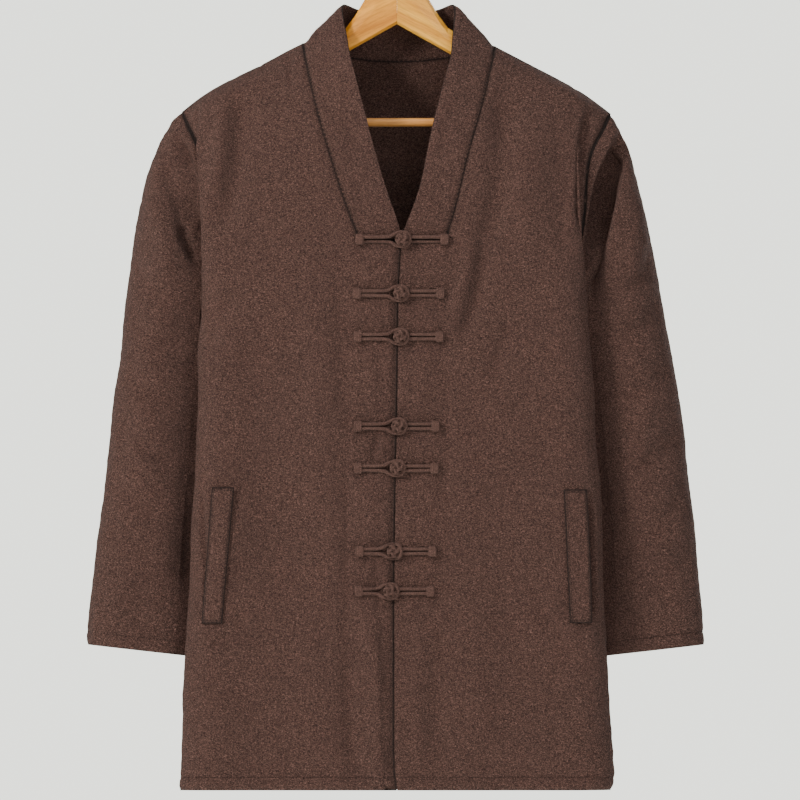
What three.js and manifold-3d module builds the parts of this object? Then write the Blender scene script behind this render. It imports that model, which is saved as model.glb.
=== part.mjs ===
// A padded coat with a collar band and seven knotted frogs, on a wooden hanger with a trouser bar.
// Millimetres. The front faces -Y, +X is on the right when the front is looked at, and +Z is up.
// The origin is the inside top of the hanger's hook. In names, right and left are the wearer's.
import * as THREE from "three";
import { mergeVertices } from "three/addons/utils/BufferGeometryUtils.js";
import Module from "manifold-3d";

const wasm = await Module();
wasm.setup();
const { Manifold, Mesh: SolidMesh } = wasm;

// Cloth
const CLOTH = 4; // thickness of the padded cloth
const SEAM_GAP = 0.3; // air between two pieces at their seam
const OPENING_GAP = 1.2; // air between the two front edges
const CHEST_DEPTH = 62; // front face, ahead of the shoulder line
const BACK_DEPTH = 50; // back face, behind the shoulder line
const FRONT_FALL = 170; // height below the shoulder line where the front reaches its full depth
const BACK_FALL = 120;
const FALL_POWER = 1.6; // roundness of the fall from the shoulder line
const SHOULDER_CROWN = 9.5; // how far the shoulder line rises above a straight one
const CROWN_POWER = 1.8; // brings its highest point near the armhole
const ROLL_REACH = 40; // width of the rounded part before the side roll

// Looks
const CLOTH_LOOK = new THREE.MeshStandardMaterial({ color: 0x5a4038, roughness: 0.95, metalness: 0 });
const CORD_LOOK = new THREE.MeshStandardMaterial({ color: 0x533b34, roughness: 0.9, metalness: 0 });
const WOOD_LOOK = new THREE.MeshStandardMaterial({ color: 0xd2a068, roughness: 0.5, metalness: 0 });
const STEEL_LOOK = new THREE.MeshStandardMaterial({ color: 0xb8b8ba, roughness: 0.25, metalness: 1 });

// Heights
const HEM_Z = -999;
const ARMPIT_Z = -467;
const NECK_POINT_Z = -165.8;
const NECK_BACK_DROP = 17;
const NECK_BACK_DEPTH = 42;
const BAND_END_Z = -383;

// Frogs
const CORD_RADIUS = 2.2;
const CORD_SPREAD = 3.1; // half the distance between the two cords of a frog
const CORD_LIFT = 2.7; // centre of a cord, above the cloth
const KNOT_RADIUS = 6.6;
const KNOT_LIFT = 7.6;
const LOOP_REACH = 9.4; // centre of the loop's cord, from the middle of the knot
const BINDING = { length: 11, height: 13, thickness: 5.4, bevel: 1, lift: 0.4 };
const CORD_SIDES = 6;
const LOOP_STEPS = 24;
const KNOT_CORD_STEPS = 5;
// Upper half of a loop and the start of a knot's upper cord: x from the middle of the knot, rise off the
// frog's middle line, and lift off the cloth
const LOOP_HALF = {
  x: [-26, -14, -7.5, 0, 6.4, LOOP_REACH],
  rise: [CORD_SPREAD, 4, 7.4, LOOP_REACH, 7.2, 0],
  lift: [CORD_LIFT, CORD_LIFT, 3.3, 4.6, 7, 8],
};
const KNOT_CORD = {
  x: [1, 7, 20],
  rise: [2.5, CORD_SPREAD, CORD_SPREAD],
  lift: [3.5, CORD_LIFT, CORD_LIFT],
};

// Pocket welts
const WELT_GAP = 0.5;
const WELT_THICKNESS = 3;
const WELT_ROWS = 8;
const WELT_COLUMNS = 4;
const WELT_NORMAL_STEP = 2; // half the width over which the front's slope is taken

// Hanger
const ARM_HALF_THICKNESS = 7;
const ARM_CLEARANCE = 0.5;
const BAR_RADIUS = 4.8;
const BAR_Z = -250.6;
const BAR_HALF_LENGTH = 214;
const HOOK_WIRE_RADIUS = 2;
const HOOK_INSIDE_RADIUS = 20;
// From the stem's low end in the wood to the hook's bend
const HOOK_STEM = { x: [0, 0, 0, 3], z: [-95, -78, -62, -50] };
const HOOK_STEP = 20; // degrees from one point of the bend to the next
const HOOK_HOLE_DEPTH = 40;
const HOOK_START = -55; // degrees
const HOOK_END = 205;
const HOOK_SIDES = 8;
const HOOK_STEPS = 24;
const BAR_SIDES = 16;
const HOLE_SIDES = 12;

// Seams and rolls at the heights of the armhole, for the wearer's right. up is the height above the armpit
// at the armhole, neck_up the height at the front neck, out the distance from the centre plane.
const RIGHT_ARMHOLE = {
  up: [0, 6, 18, 38, 64, 74, 98, 132, 162, 186, 204, 218, 226.5],
  neck_up: [0, 8, 25, 52, 84, 97, 130, 175, 215, 250, 275, 291, 301.2],
  roll_out: [219, 219, 219, 219, 219, 219.1, 219.5, 220.6, 222.5, 225, 221.5, 218.4, 215],
  roll_y: [-36, -37, -38, -40, -43, -44, -46, -47, -41, -33, -26, -18, 0],
  tuck_out: [201, 201, 201, 203, 206, 207, 210, 213, 217, 222, 225, 227, 228],
  tuck_y: [-12, -14, -18, -24, -30, -31, -34, -35, -32, -27, -20, -13, 0],
  seam_out: [183, 184, 187, 191, 196, 197.5, 202, 208, 214, 223.5, 232, 238, 240.8],
  seam_y: [5, -6, -15, -23, -28, -29, -31, -31, -29, -23, -15, -8, 0],
  back_y: [5, 17, 27, 36, 42, 43.5, 45, 44, 39, 31, 21, 11, 0],
  back_out: [183, 183, 184, 186, 190, 191.5, 196, 203, 211, 221, 230.5, 237.5, 240.8],
};
const LEFT_ARMHOLE = {
  up: RIGHT_ARMHOLE.up.slice(0, -1).concat(223.5),
  neck_up: RIGHT_ARMHOLE.neck_up,
  roll_out: [212, 212, 211.5, 211, 210, 209, 207, 205, 203.5, 206, 212, 217, 222],
  roll_y: [-36, -37, -38, -41, -45, -46, -48, -49, -43, -35, -27, -18, 0],
  tuck_out: [194, 194.5, 196, 199, 201, 201.5, 202, 201.5, 203, 209, 217, 225, 230],
  tuck_y: [-12, -14, -19, -26, -33, -35, -38, -40, -37, -30, -22, -13, 0],
  seam_out: [176, 178, 184, 194, 203, 205.5, 209, 212, 214, 220.5, 230, 236, 238.6],
  seam_y: [5, -6, -15, -23, -29, -30, -32, -33, -31, -25, -16, -8, 0],
  back_y: RIGHT_ARMHOLE.back_y,
  back_out: [176, 176.5, 178, 182, 188, 190, 195, 203, 211, 219, 228, 235.5, 238.6],
};

// Side roll below the armpit, from the centre plane
const RIGHT_SIDE = {
  z: [-999, -988, -943, -898, -842, -805, -748, -691, -647, -562, -505, -467],
  out: [243, 243, 240.8, 238.6, 236.5, 233, 230.7, 228.9, 226.2, 222.9, 221.5, 219],
};
const LEFT_SIDE = {
  z: [-999, -986, -905, -852, -820, -762, -705, -647, -562, -514, -467],
  out: [239, 240.8, 237.5, 234.8, 233, 230.7, 229, 225.1, 219.1, 216.2, 212],
};
const SIDE_ROLL_Y = -36;
const ROLL_LEAD = 12; // how far ahead of the side roll the curve behind it starts
const SIDE_TUCK = { in: 18, y: -12 };
const SIDE_SEAM = { in: 36, y: 5 };

// Front opening and the line that the collar band's outer seam continues down the front
const OPENING = {
  z: [-999, -960, -786, -674, -562, -450, -394, -370],
  x: [0, -3.2, -3.4, -2.2, 0, 1.3, 4.2, 5.2],
};
const BAND_LINE_AT_HEM = { right: 46, left: 50 };
const BAND_LINE_SETTLE = 200; // height below the band's end over which that line settles

// Front neck seam and the band's free edge. seam_out belongs to the heights of neck_up from the band's end
// upward.
const RIGHT_NECK = {
  seam_out: [42.6, 46.5, 58.8, 73.4, 86.2, 95.2, 101.4, 104.7, 106.4],
  edge_out: [-4.2, -2.8, 11.4, 26.1, 38.3, 47.8, 54.3, 58.2, 62.7],
  edge_z: [-383, -369, -327, -278, -233, -197, -172.5, -150, -122],
  edge_y: [-62, -62, -61.5, -59, -53, -45, -35, -20, -4],
};
const LEFT_NECK = {
  seam_out: [56, 58, 67.2, 77.8, 89.3, 99.1, 105.3, 109, 110.4],
  edge_out: [5.4, 9.4, 24.5, 34.7, 44.8, 55.2, 61.6, 63.8, 66.1],
  edge_z: [-383, -368, -327, -280, -237.4, -199.4, -174.7, -151.2, -121],
  edge_y: [-62, -62, -61.5, -59, -53, -45, -35, -20, -4],
};
// Band's free edge at the back, from the neck point (1) to the centre of the back (0)
const BACK_BAND_EDGE = {
  share: [0, 0.38, 0.74, 1],
  out_share: [0, 0.38, 0.76, 1],
  y: [34, 31, 18, -4],
  z: [-129, -128, -124.5, -121.5],
};
const NECK_SHARES = [0, 0.38, 0.74];

// Sleeves: outer_z and inner_z are the heights of each ring's outer and inner point
const SLEEVE_RINGS = {
  outer_z: [
    -244, -251, -259, -269, -282, -298, -318, -342, -370, -402, -440, -480, -520, -560, -600, -640, -680,
    -720, -760, -795, -822, -836,
  ],
  inner_z: [
    -467, -468.5, -470, -472, -474.5, -478, -483, -489, -497, -508, -524, -547, -576, -608, -642, -677,
    -713, -750, -785, -814, -837, -850,
  ],
};
const RIGHT_SLEEVE = {
  z: [-244, -253, -262, -271, -280, -298, -316, -334, -361, -383, -428, -473, -562, -652, -741, -786, -836],
  out: [
    240.8, 252, 257.6, 263.2, 267.7, 274.4, 280, 283.4, 289, 292.3, 300.2, 305.2, 316.4, 327, 337.1,
    342.7, 346.5,
  ],
};
const LEFT_SLEEVE = {
  z: [-247, -253, -262, -271, -280, -298, -316, -334, -361, -383, -428, -473, -562, -652, -741, -786, -836],
  out: [
    238.6, 244.2, 248.6, 253.1, 256.5, 262.1, 266.5, 271.5, 277.8, 282.2, 291.2, 299, 314.2, 325.4,
    335.4, 339.9, 343,
  ],
};
const SLEEVE_DEPTH = {
  z: [-244, -320, -420, -520, -640, -836],
  front_y: [-33, -33, -27, -23, -18, -12],
  back_y: [44, 52, 60, 64, 60, 48],
};
const SLEEVE_INNER = {
  z: [-467, -480, -500, -540, -700, -850],
  in_from_roll: [36, 31, 27, 24, 20, 14],
};
const SLEEVE_SQUARENESS = 2.4;
const ARMHOLE_FADE = 7; // number of rings over which the armhole's form turns into the sleeve's
const SLEEVE_CLEARANCE = 3; // air between a sleeve and the front's side roll
const CLEARANCE_RINGS = 5; // rings over which that air opens
const FRONT_HALF_FADE = 8; // sharpness of the change from the sleeve's front half to its back half
const BEHIND_ROLL_FADE = 12; // distance outside the roll over which the sleeve comes free of it
// Depth of the sleeve's valley beside the armhole, the ring of its middle, and its half width in rings
const SLEEVE_VALLEY = {
  right: { depth: 7, ring: 3.4, width: 1.7 },
  left: { depth: 13, ring: 3.4, width: 1.5 },
};
const VALLEY_WINDOW = { start: 10, rise: 30, end: 140, fall: 50 }; // degrees round the sleeve from its top
// Broad soft troughs of the front panels: run is the height range, width is half the trough's width
const TROUGH_END = 0.3; // share of a trough's run over which it fades out
const TROUGHS = {
  right: [
    { top_out: 150, top_z: -225, low_out: 190, low_z: -420, width: 26, depth: 3.5 },
    { top_out: 118, top_z: -560, low_out: 150, low_z: -999, width: 38, depth: 4 },
  ],
  left: [
    { top_out: 158, top_z: -230, low_out: 176, low_z: -380, width: 24, depth: 3 },
    { top_out: 105, top_z: -600, low_out: 128, low_z: -999, width: 34, depth: 4.5 },
  ],
};

const FROGS = {
  z: [-381.9, -442.4, -491.1, -591.4, -638.4, -731.4, -776.2],
  knot_x: [5.6, 3.4, 3.4, 1.1, -0.6, -3.9, -7.8],
  loop_end_x: [-46.6, -49.5, -48.8, -48.5, -48.3, -46.5, -47.3],
  knot_end_x: [58, 53.4, 52.4, 47.9, 46.9, 44.5, 42.3],
};
const WELTS = {
  right: { top_z: -660, low_z: -812, top_in: 182.6, top_out: 206.1, low_in: 196, low_out: 217.3, lift: 0 },
  left: { top_z: -662.5, low_z: -811.5, top_in: 187, top_out: 210.6, low_in: 193.8, low_out: 216.2, lift: 3 },
};
const ARM_TABLE = {
  out: [0.15, 12, 24, 37, 47, 57, 75, 106],
  top: [-76, -79, -91, -114.2, -131, -144.5, -156, -172],
  out_low: [0.15, 53.8, 106, 160, 196, 210, 221, 228],
  low: [-140.6, -170.8, -200, -228, -248, -261, -262, -253],
};
const ARM_STATIONS = [0.15, 12, 24, 37, 47, 57, 75, 106, 135, 160, 182, 196, 210, 221, 228];
const ARM_TIP_DROP = 5; // how far the last station's top lies under the shoulder line, to round the tip
// Half of the arm's section: the upper points by their share of the half thickness and their depth below
// the top, and the lower points by their height above the underside
const ARM_UPPER = { share: [0, 0.34, 0.76], down: [0, 2.2, 6.4] };
const ARM_LOWER = { share: [0.85, 0.45, 0], up: [3.5, 0.8, 0] };

const SIDES = {
  right: { sign: -1, armhole: RIGHT_ARMHOLE, side: RIGHT_SIDE, neck: RIGHT_NECK, sleeve: RIGHT_SLEEVE },
  left: { sign: 1, armhole: LEFT_ARMHOLE, side: LEFT_SIDE, neck: LEFT_NECK, sleeve: LEFT_SLEEVE },
};

// A smooth value of one column of a table, looked up by another column that rises or falls steadily
function look(table, along, wanted, at) {
  const keys = table[along];
  const values = table[wanted];
  const rising = keys[keys.length - 1] > keys[0];
  const place = (i) => (rising ? keys[i] : -keys[i]);
  const where = rising ? at : -at;
  const last = keys.length - 1;
  if (where <= place(0)) return values[0];
  if (where >= place(last)) return values[last];
  let i = 0;
  while (where > place(i + 1)) i += 1;
  const slope = (k) => (values[k + 1] - values[k]) / (place(k + 1) - place(k));
  const tangent = (k) => {
    if (k === 0) return slope(0);
    if (k === last) return slope(last - 1);
    const before = slope(k - 1);
    const after = slope(k);
    return before * after <= 0 ? 0 : (2 * before * after) / (before + after);
  };
  const step = place(i + 1) - place(i);
  const t = (where - place(i)) / step;
  const startWeight = 2 * t ** 3 - 3 * t ** 2 + 1;
  const startPull = t ** 3 - 2 * t ** 2 + t;
  const endWeight = -2 * t ** 3 + 3 * t ** 2;
  const endPull = t ** 3 - t ** 2;
  return (
    startWeight * values[i] +
    startPull * step * tangent(i) +
    endWeight * values[i + 1] +
    endPull * step * tangent(i + 1)
  );
}

const mix = (from, to, share) => from + (to - from) * share;
const clamp = (value) => Math.min(1, Math.max(0, value));
const ease = (value) => clamp(value) ** 2 * (3 - 2 * clamp(value));
const point = (x, y, z) => new THREE.Vector3(x, y, z);

// Share of the way from the neck to the armhole, and heights of the shoulder line of one side: straight, as its
// seam leaves the neck, and crowned, as the padded cloth stands
function shoulderShare(side, out) {
  const neckOut = side.neck.seam_out[side.neck.seam_out.length - 1];
  const tipOut = side.armhole.seam_out[side.armhole.seam_out.length - 1];
  return (out - neckOut) / (tipOut - neckOut);
}
function straightShoulderZ(side, out) {
  const tipZ = ARMPIT_Z + side.armhole.up[side.armhole.up.length - 1];
  return mix(NECK_POINT_Z, tipZ, shoulderShare(side, out));
}
function shoulderZ(side, out) {
  const crown = Math.sin(Math.PI * clamp(shoulderShare(side, out)) ** CROWN_POWER);
  return straightShoulderZ(side, out) + SHOULDER_CROWN * crown;
}

// How deep the cloth stands at a height below the shoulder line
function fall(below, height) {
  const share = clamp(below / height);
  return (1 - (1 - share) ** FALL_POWER) ** (1 / FALL_POWER);
}

// Values of the armhole table above the armpit and of the side table below it
function rollOut(side, z) {
  return z > ARMPIT_Z ? look(side.armhole, "up", "roll_out", z - ARMPIT_Z) : look(side.side, "z", "out", z);
}
function rollY(side, z) {
  return z > ARMPIT_Z ? look(side.armhole, "up", "roll_y", z - ARMPIT_Z) : SIDE_ROLL_Y;
}

// Y of the back of the front's side roll, at a distance out and a height
function behindRollY(side, out, z) {
  const up = z - ARMPIT_Z;
  const high = up > 0;
  const roll = rollOut(side, z);
  const tuckOut = high ? look(side.armhole, "up", "tuck_out", up) : roll - SIDE_TUCK.in;
  const tuckY = high ? look(side.armhole, "up", "tuck_y", up) : SIDE_TUCK.y;
  const seamOut = high ? look(side.armhole, "up", "seam_out", up) : roll - SIDE_SEAM.in;
  const seamY = high ? look(side.armhole, "up", "seam_y", up) : SIDE_SEAM.y;
  if (out < tuckOut) return mix(seamY, tuckY, clamp((out - seamOut) / (tuckOut - seamOut)));
  return mix(tuckY, rollY(side, z), clamp((out - tuckOut) / (roll - tuckOut)));
}

// How far the troughs of a front panel push its face back
function troughs(sideName, out, z) {
  let push = 0;
  for (const trough of TROUGHS[sideName]) {
    const run = (trough.top_z - z) / (trough.top_z - trough.low_z);
    const middle = mix(trough.top_out, trough.low_out, run);
    const along = ease(run / TROUGH_END) * (trough.low_z <= HEM_Z ? 1 : ease((1 - run) / TROUGH_END));
    const across = (out - middle) / trough.width;
    push += trough.depth * along * Math.exp(-(across ** 2));
  }
  return push;
}

// Y of the front face at a distance out and a height
function frontY(sideName, out, z, rollHeight = z) {
  const side = SIDES[sideName];
  const full = CHEST_DEPTH * fall(shoulderZ(side, out) - z, FRONT_FALL);
  const edge = Math.min(full, -rollY(side, rollHeight));
  const rollShare = clamp((out - rollOut(side, rollHeight) + ROLL_REACH) / ROLL_REACH);
  const roundness = Math.sqrt(1 - rollShare ** 2);
  return -mix(edge, full, roundness) + troughs(sideName, out, z) * roundness;
}
function backNeck(side, out) {
  const neckOut = side.neck.seam_out[side.neck.seam_out.length - 1];
  const round = Math.sqrt(1 - clamp(out / neckOut) ** 2);
  return { y: NECK_BACK_DEPTH * round, z: NECK_POINT_Z - NECK_BACK_DROP * round ** 2 };
}
function backY(side, out, z) {
  const neckOut = side.neck.seam_out[side.neck.seam_out.length - 1];
  const top = out < neckOut ? backNeck(side, out) : { y: 0, z: shoulderZ(side, out) };
  return mix(top.y, BACK_DEPTH, fall(top.z - z, BACK_FALL));
}

// A curve through points, sampled at a share of each span
function curveThrough(points, samples) {
  const curve = new THREE.CatmullRomCurve3(points, false, "centripetal");
  return samples.map((sample) => curve.getPoint(sample / (points.length - 1)));
}

// Rows of the body, from the hem up
const LOW_ROWS = [-999, -990, -965, -925, -880, -830, -780, -730, -680, -630, -580, -535, -500, -480];
function bodyRows(side) {
  const low = LOW_ROWS.map((z) => ({ sideZ: z, neckZ: z, backZ: z }));
  const backRise = NECK_POINT_Z - NECK_BACK_DROP - ARMPIT_Z;
  const neckRise = NECK_POINT_Z - ARMPIT_Z;
  const high = side.armhole.up.map((up, i) => ({
    sideZ: ARMPIT_Z + up,
    neckZ: ARMPIT_Z + side.armhole.neck_up[i],
    backZ: ARMPIT_Z + (side.armhole.neck_up[i] * backRise) / neckRise,
  }));
  return low.concat(high);
}
const ARMPIT_ROW = LOW_ROWS.length;
const NOTCH_ROW = ARMPIT_ROW + RIGHT_ARMHOLE.neck_up.indexOf(BAND_END_Z - ARMPIT_Z);
const ROW_COUNT = ARMPIT_ROW + RIGHT_ARMHOLE.up.length;

function bandLine(sideName, row, z) {
  const side = SIDES[sideName];
  if (row >= NOTCH_ROW) return side.neck.seam_out[row - NOTCH_ROW];
  return mix(side.neck.seam_out[0], BAND_LINE_AT_HEM[sideName], ease((BAND_END_Z - z) / BAND_LINE_SETTLE));
}

const FACE_SHARES = [0.2, 0.4, 0.6, 0.8, 1];
const ROLL_ANGLES = [28, 52, 72, 90];
const BAND_COLUMN = 2;

// Outer points of a front panel, by row from the hem up and by column from the opening to the side
function frontGrid(sideName) {
  const side = SIDES[sideName];
  return bodyRows(side).map(({ sideZ, neckZ }, row) => {
    const edge = sideEdge(side, row, sideZ);
    const roll = rollOut(side, sideZ);
    const line = bandLine(sideName, row, neckZ);
    const top = row === ROW_COUNT - 1;
    const farthest = Math.max(roll, edge.seam.x);
    const heightAt = (out) => mix(neckZ, sideZ, clamp((out - line) / (farthest - line)));
    const face = (out) => {
      const z = heightAt(out);
      return point(side.sign * out, top ? 0 : frontY(sideName, out, z, sideZ), z);
    };
    const opening = side.sign * look(OPENING, "z", "x", neckZ) + OPENING_GAP / 2;
    const columns = [];
    for (const share of [0, 0.5]) columns.push(row <= NOTCH_ROW ? face(mix(opening, line, share)) : null);
    columns.push(face(line));
    const rollStart = roll - ROLL_REACH;
    for (const share of FACE_SHARES) columns.push(face(mix(line, rollStart, share)));
    for (const angle of ROLL_ANGLES) {
      const share = Math.sin(THREE.MathUtils.degToRad(angle));
      columns.push(face(rollStart + ROLL_REACH * share));
    }
    const rollPoint = columns[columns.length - 1];
    const before = point(rollPoint.x, rollPoint.y - ROLL_LEAD, rollPoint.z);
    const tuck = point(side.sign * edge.tuck.x, edge.tuck.y, heightAt(edge.tuck.x));
    const seam = point(side.sign * edge.seam.x, edge.seam.y, sideZ);
    if (top) {
      columns.push(rollPoint.clone().lerp(seam, 0.25));
      columns.push(rollPoint.clone().lerp(seam, 0.5));
      columns.push(rollPoint.clone().lerp(seam, 0.75));
      columns.push(seam);
    } else {
      columns.push(...curveThrough([before, rollPoint, tuck, seam], [1.5, 2, 2.5, 3]));
    }
    return columns;
  });
}

// The tuck behind the roll and the seam at one row
function sideEdge(side, row, z) {
  if (row < ARMPIT_ROW) {
    const out = rollOut(side, z);
    return {
      tuck: { x: out - SIDE_TUCK.in, y: SIDE_TUCK.y },
      seam: { x: out - SIDE_SEAM.in, y: SIDE_SEAM.y },
      back: { x: out - SIDE_SEAM.in, y: SIDE_SEAM.y },
    };
  }
  const i = row - ARMPIT_ROW;
  const table = side.armhole;
  return {
    tuck: { x: table.tuck_out[i], y: table.tuck_y[i] },
    seam: { x: table.seam_out[i], y: table.seam_y[i] },
    back: { x: table.back_out[i], y: table.back_y[i] },
  };
}

// Outer points of half of the back panel, by row from the hem up and by column from the centre to the side
const BLADE_SHARES = [0.3, 0.6, 1];
const BLADE_HOLLOW = 4;
const BLADE_TO_SEAM = 26;
const BLADE_FALL = 90; // height below the shoulder line where the hollow is full
const UNDERARM_RISE = 17; // height above the armpit where the back's edge leaves the underarm's form
// The turn between the blade and the seam: its distance from the seam, and its share of the way back and
// down
const BACK_TURN = { armhole_in: 11, underarm_in: 6, y_share: 0.45, z_share: 0.6 };
function backHalf(side) {
  const neckOut = side.neck.seam_out[side.neck.seam_out.length - 1];
  return bodyRows(side).map(({ sideZ, neckZ, backZ }, row) => {
    const edge = sideEdge(side, row, sideZ).back;
    const top = row === ROW_COUNT - 1;
    const columns = [];
    for (const share of NECK_SHARES) {
      const out = neckOut * share;
      const topZ = backNeck(side, out).z;
      const up = (neckZ - ARMPIT_Z) / (NECK_POINT_Z - ARMPIT_Z);
      const z = row < ARMPIT_ROW ? sideZ : mix(ARMPIT_Z, topZ, up);
      columns.push(point(side.sign * out, backY(side, out, z), z));
    }
    columns.push(point(side.sign * neckOut, top ? 0 : backY(side, neckOut, neckZ), neckZ));
    const blade = edge.x - BLADE_TO_SEAM;
    for (const share of BLADE_SHARES) {
      const out = mix(neckOut, blade, share);
      const z = mix(neckZ, sideZ, clamp((out - neckOut) / (edge.x - neckOut)));
      const hollow = BLADE_HOLLOW * share ** 2 * ease((shoulderZ(side, out) - z) / BLADE_FALL);
      columns.push(point(side.sign * out, top ? 0 : backY(side, out, z) - hollow, z));
    }
    const bladePoint = columns[columns.length - 1];
    const seam = point(side.sign * edge.x, edge.y, sideZ);
    const inner = columns[columns.length - 2];
    const bulge = row < ARMPIT_ROW ? 1 : clamp(1 - (sideZ - ARMPIT_Z) / UNDERARM_RISE);
    const corner = point(
      side.sign * (edge.x - mix(BACK_TURN.armhole_in, BACK_TURN.underarm_in, bulge)),
      mix(bladePoint.y, edge.y, BACK_TURN.y_share),
      mix(bladePoint.z, sideZ, BACK_TURN.z_share),
    );
    if (top) {
      for (const share of [0.25, 0.5, 0.75]) columns.push(bladePoint.clone().lerp(seam, share));
      columns.push(seam);
    } else {
      columns.push(...curveThrough([inner, bladePoint, corner, seam], [1.5, 2, 2.5, 3]));
    }
    return columns;
  });
}

// A shape as a solid that can be joined and cut
function solidOf(geometry) {
  const bare = geometry.clone();
  bare.deleteAttribute("normal");
  bare.deleteAttribute("uv");
  const merged = mergeVertices(bare, 1e-4);
  const made = new Manifold(
    new SolidMesh({
      numProp: 3,
      vertProperties: merged.attributes.position.array,
      triVerts: new Uint32Array(merged.index.array),
    }),
  );
  if (made.volume() > 0) return made;
  const turned = merged.index.array.map((_, i, all) => all[i - (i % 3) + [0, 2, 1][i % 3]]);
  const vertProperties = merged.attributes.position.array;
  return new Manifold(new SolidMesh({ numProp: 3, vertProperties, triVerts: new Uint32Array(turned) }));
}
function geometryFrom(points, triangles) {
  return new THREE.BufferGeometry().setFromPoints(points).setIndex(triangles.flat());
}
function meshOf(name, geometry, material) {
  const mesh = new THREE.Mesh(geometry, material);
  geometry.computeVertexNormals();
  mesh.name = name;
  return mesh;
}
function meshOfSolid(name, solid, material) {
  const { numProp, numVert, vertProperties, triVerts } = solid.getMesh();
  const points = [];
  for (let i = 0; i < numVert; i += 1) {
    points.push(point(...vertProperties.subarray(i * numProp, i * numProp + 3)));
  }
  const triangles = [];
  for (let i = 0; i < triVerts.length; i += 3) triangles.push([...triVerts.subarray(i, i + 3)]);
  return meshOf(name, geometryFrom(points, triangles), material);
}

// Weights that order the two ends of a rim edge in the same way on both pieces of a seam
const RIM_ORDER = { x: 0.6, y: 0.3, z: 1 };

// A closed wall of cloth from a grid of outer points, some of which may be null. probe is a cell whose outer
// face looks to outside. ways holds, for points at a seam, the direction through the wall.
function clothWall(name, grid, { thickness = CLOTH, wrap = false, probe, outside, ways = new Map() }) {
  const columnCount = grid[0].length;
  const index = new Map();
  const outer = [];
  grid.forEach((row, r) =>
    row.forEach((p, c) => {
      if (p) {
        index.set(`${r},${c}`, outer.length);
        outer.push(p);
      }
    }),
  );
  const cell = (r, c) => {
    const next = wrap ? (c + 1) % columnCount : c + 1;
    return [`${r},${c}`, `${r},${next}`, `${r + 1},${next}`, `${r + 1},${c}`].map((key) => index.get(key));
  };
  const faceNormal = ([a, b, c]) => {
    const ab = outer[b].clone().sub(outer[a]);
    return ab.cross(outer[c].clone().sub(outer[a]));
  };
  const [pa, pb, pc, pd] = cell(...probe);
  const probeNormal = faceNormal([pa, pb, pc]).add(faceNormal([pa, pc, pd]));
  const flip = probeNormal.dot(point(...outside)) < 0;
  const faces = [];
  for (let r = 0; r + 1 < grid.length; r += 1) {
    for (let c = 0; c < (wrap ? columnCount : columnCount - 1); c += 1) {
      const [a, b, d, e] = cell(r, c);
      if ([a, b, d, e].some((corner) => corner === undefined)) continue;
      faces.push(flip ? [a, d, b] : [a, b, d]);
      faces.push(flip ? [a, e, d] : [a, d, e]);
    }
  }
  const normals = outer.map(() => point(0, 0, 0));
  for (const face of faces) {
    const normal = faceNormal(face);
    for (const corner of face) normals[corner].add(normal);
  }
  const inner = outer.map((p, i) => p.clone().addScaledVector(normals[i].normalize(), -thickness));
  for (const [key, way] of ways) {
    const i = index.get(key);
    inner[i].copy(outer[i]).addScaledVector(way, thickness);
  }
  const count = outer.length;
  const rank = (i) => {
    const { x, y, z } = outer[i];
    return RIM_ORDER.z * z + RIM_ORDER.x * Math.abs(x) + RIM_ORDER.y * y;
  };
  const edges = new Set(faces.flatMap(([a, b, c]) => [`${a},${b}`, `${b},${c}`, `${c},${a}`]));
  const triangles = faces.concat(faces.map(([a, b, c]) => [a + count, c + count, b + count]));
  for (const edge of edges) {
    const [from, to] = edge.split(",").map(Number);
    if (edges.has(`${to},${from}`)) continue;
    if (rank(from) < rank(to)) triangles.push([from, from + count, to + count], [from, to + count, to]);
    else triangles.push([to, from, from + count], [to, from + count, to + count]);
  }
  return meshOf(name, geometryFrom(outer.concat(inner), triangles), CLOTH_LOOK);
}

// The way through the wall at a seam point that runs along one direction, between a point on each piece
function seamWay(along, before, after, inside) {
  const across = after.clone().sub(before).normalize();
  const way = across.clone().cross(along).normalize();
  if (way.dot(inside) < 0) way.negate();
  return { way, across };
}
function neighbours(list, i) {
  const next = list[Math.min(i + 1, list.length - 1)];
  return next.clone().sub(list[Math.max(i - 1, 0)]);
}
const half = SEAM_GAP / 2;
const ARMPIT_LEAN = 0.5; // how far the way through the wall at the armpit leans to the body
const NECK_POINT_ROWS = 3; // rows of the neck seam over which that way turns into the shoulder seam's
const NECK_POINT_BACK = 0.4; // share of the shoulder seam's way in the back's first neck point
const ARMHOLE_MIDDLE_Y = 4;
const NECK_MIDDLE_Z = -240;

// The way through the wall at the shoulder seam
function shoulderWay(side) {
  const neckOut = side.neck.seam_out[side.neck.seam_out.length - 1];
  const rise = straightShoulderZ(side, neckOut) - straightShoulderZ(side, neckOut + 1);
  return point(-side.sign * rise, 0, -1).normalize();
}

const group = new THREE.Group();
const coat = new THREE.Group();
const hanger = new THREE.Group();
coat.name = "coat";
hanger.name = "hanger";
group.add(coat, hanger);
const fronts = { right: frontGrid("right"), left: frontGrid("left") };
const backs = { right: backHalf(SIDES.right), left: backHalf(SIDES.left) };
const frontWays = { right: new Map(), left: new Map() };
const backWays = new Map();
const seamColumn = fronts.right[0].length - 1;
const backSeamColumn = backs.right[0].length - 1;
const neckColumn = NECK_SHARES.length;
const topRow = ROW_COUNT - 1;
const backKey = (sideName, row, column) =>
  `${row},${sideName === "right" ? backSeamColumn - column : backSeamColumn + column}`;

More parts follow.
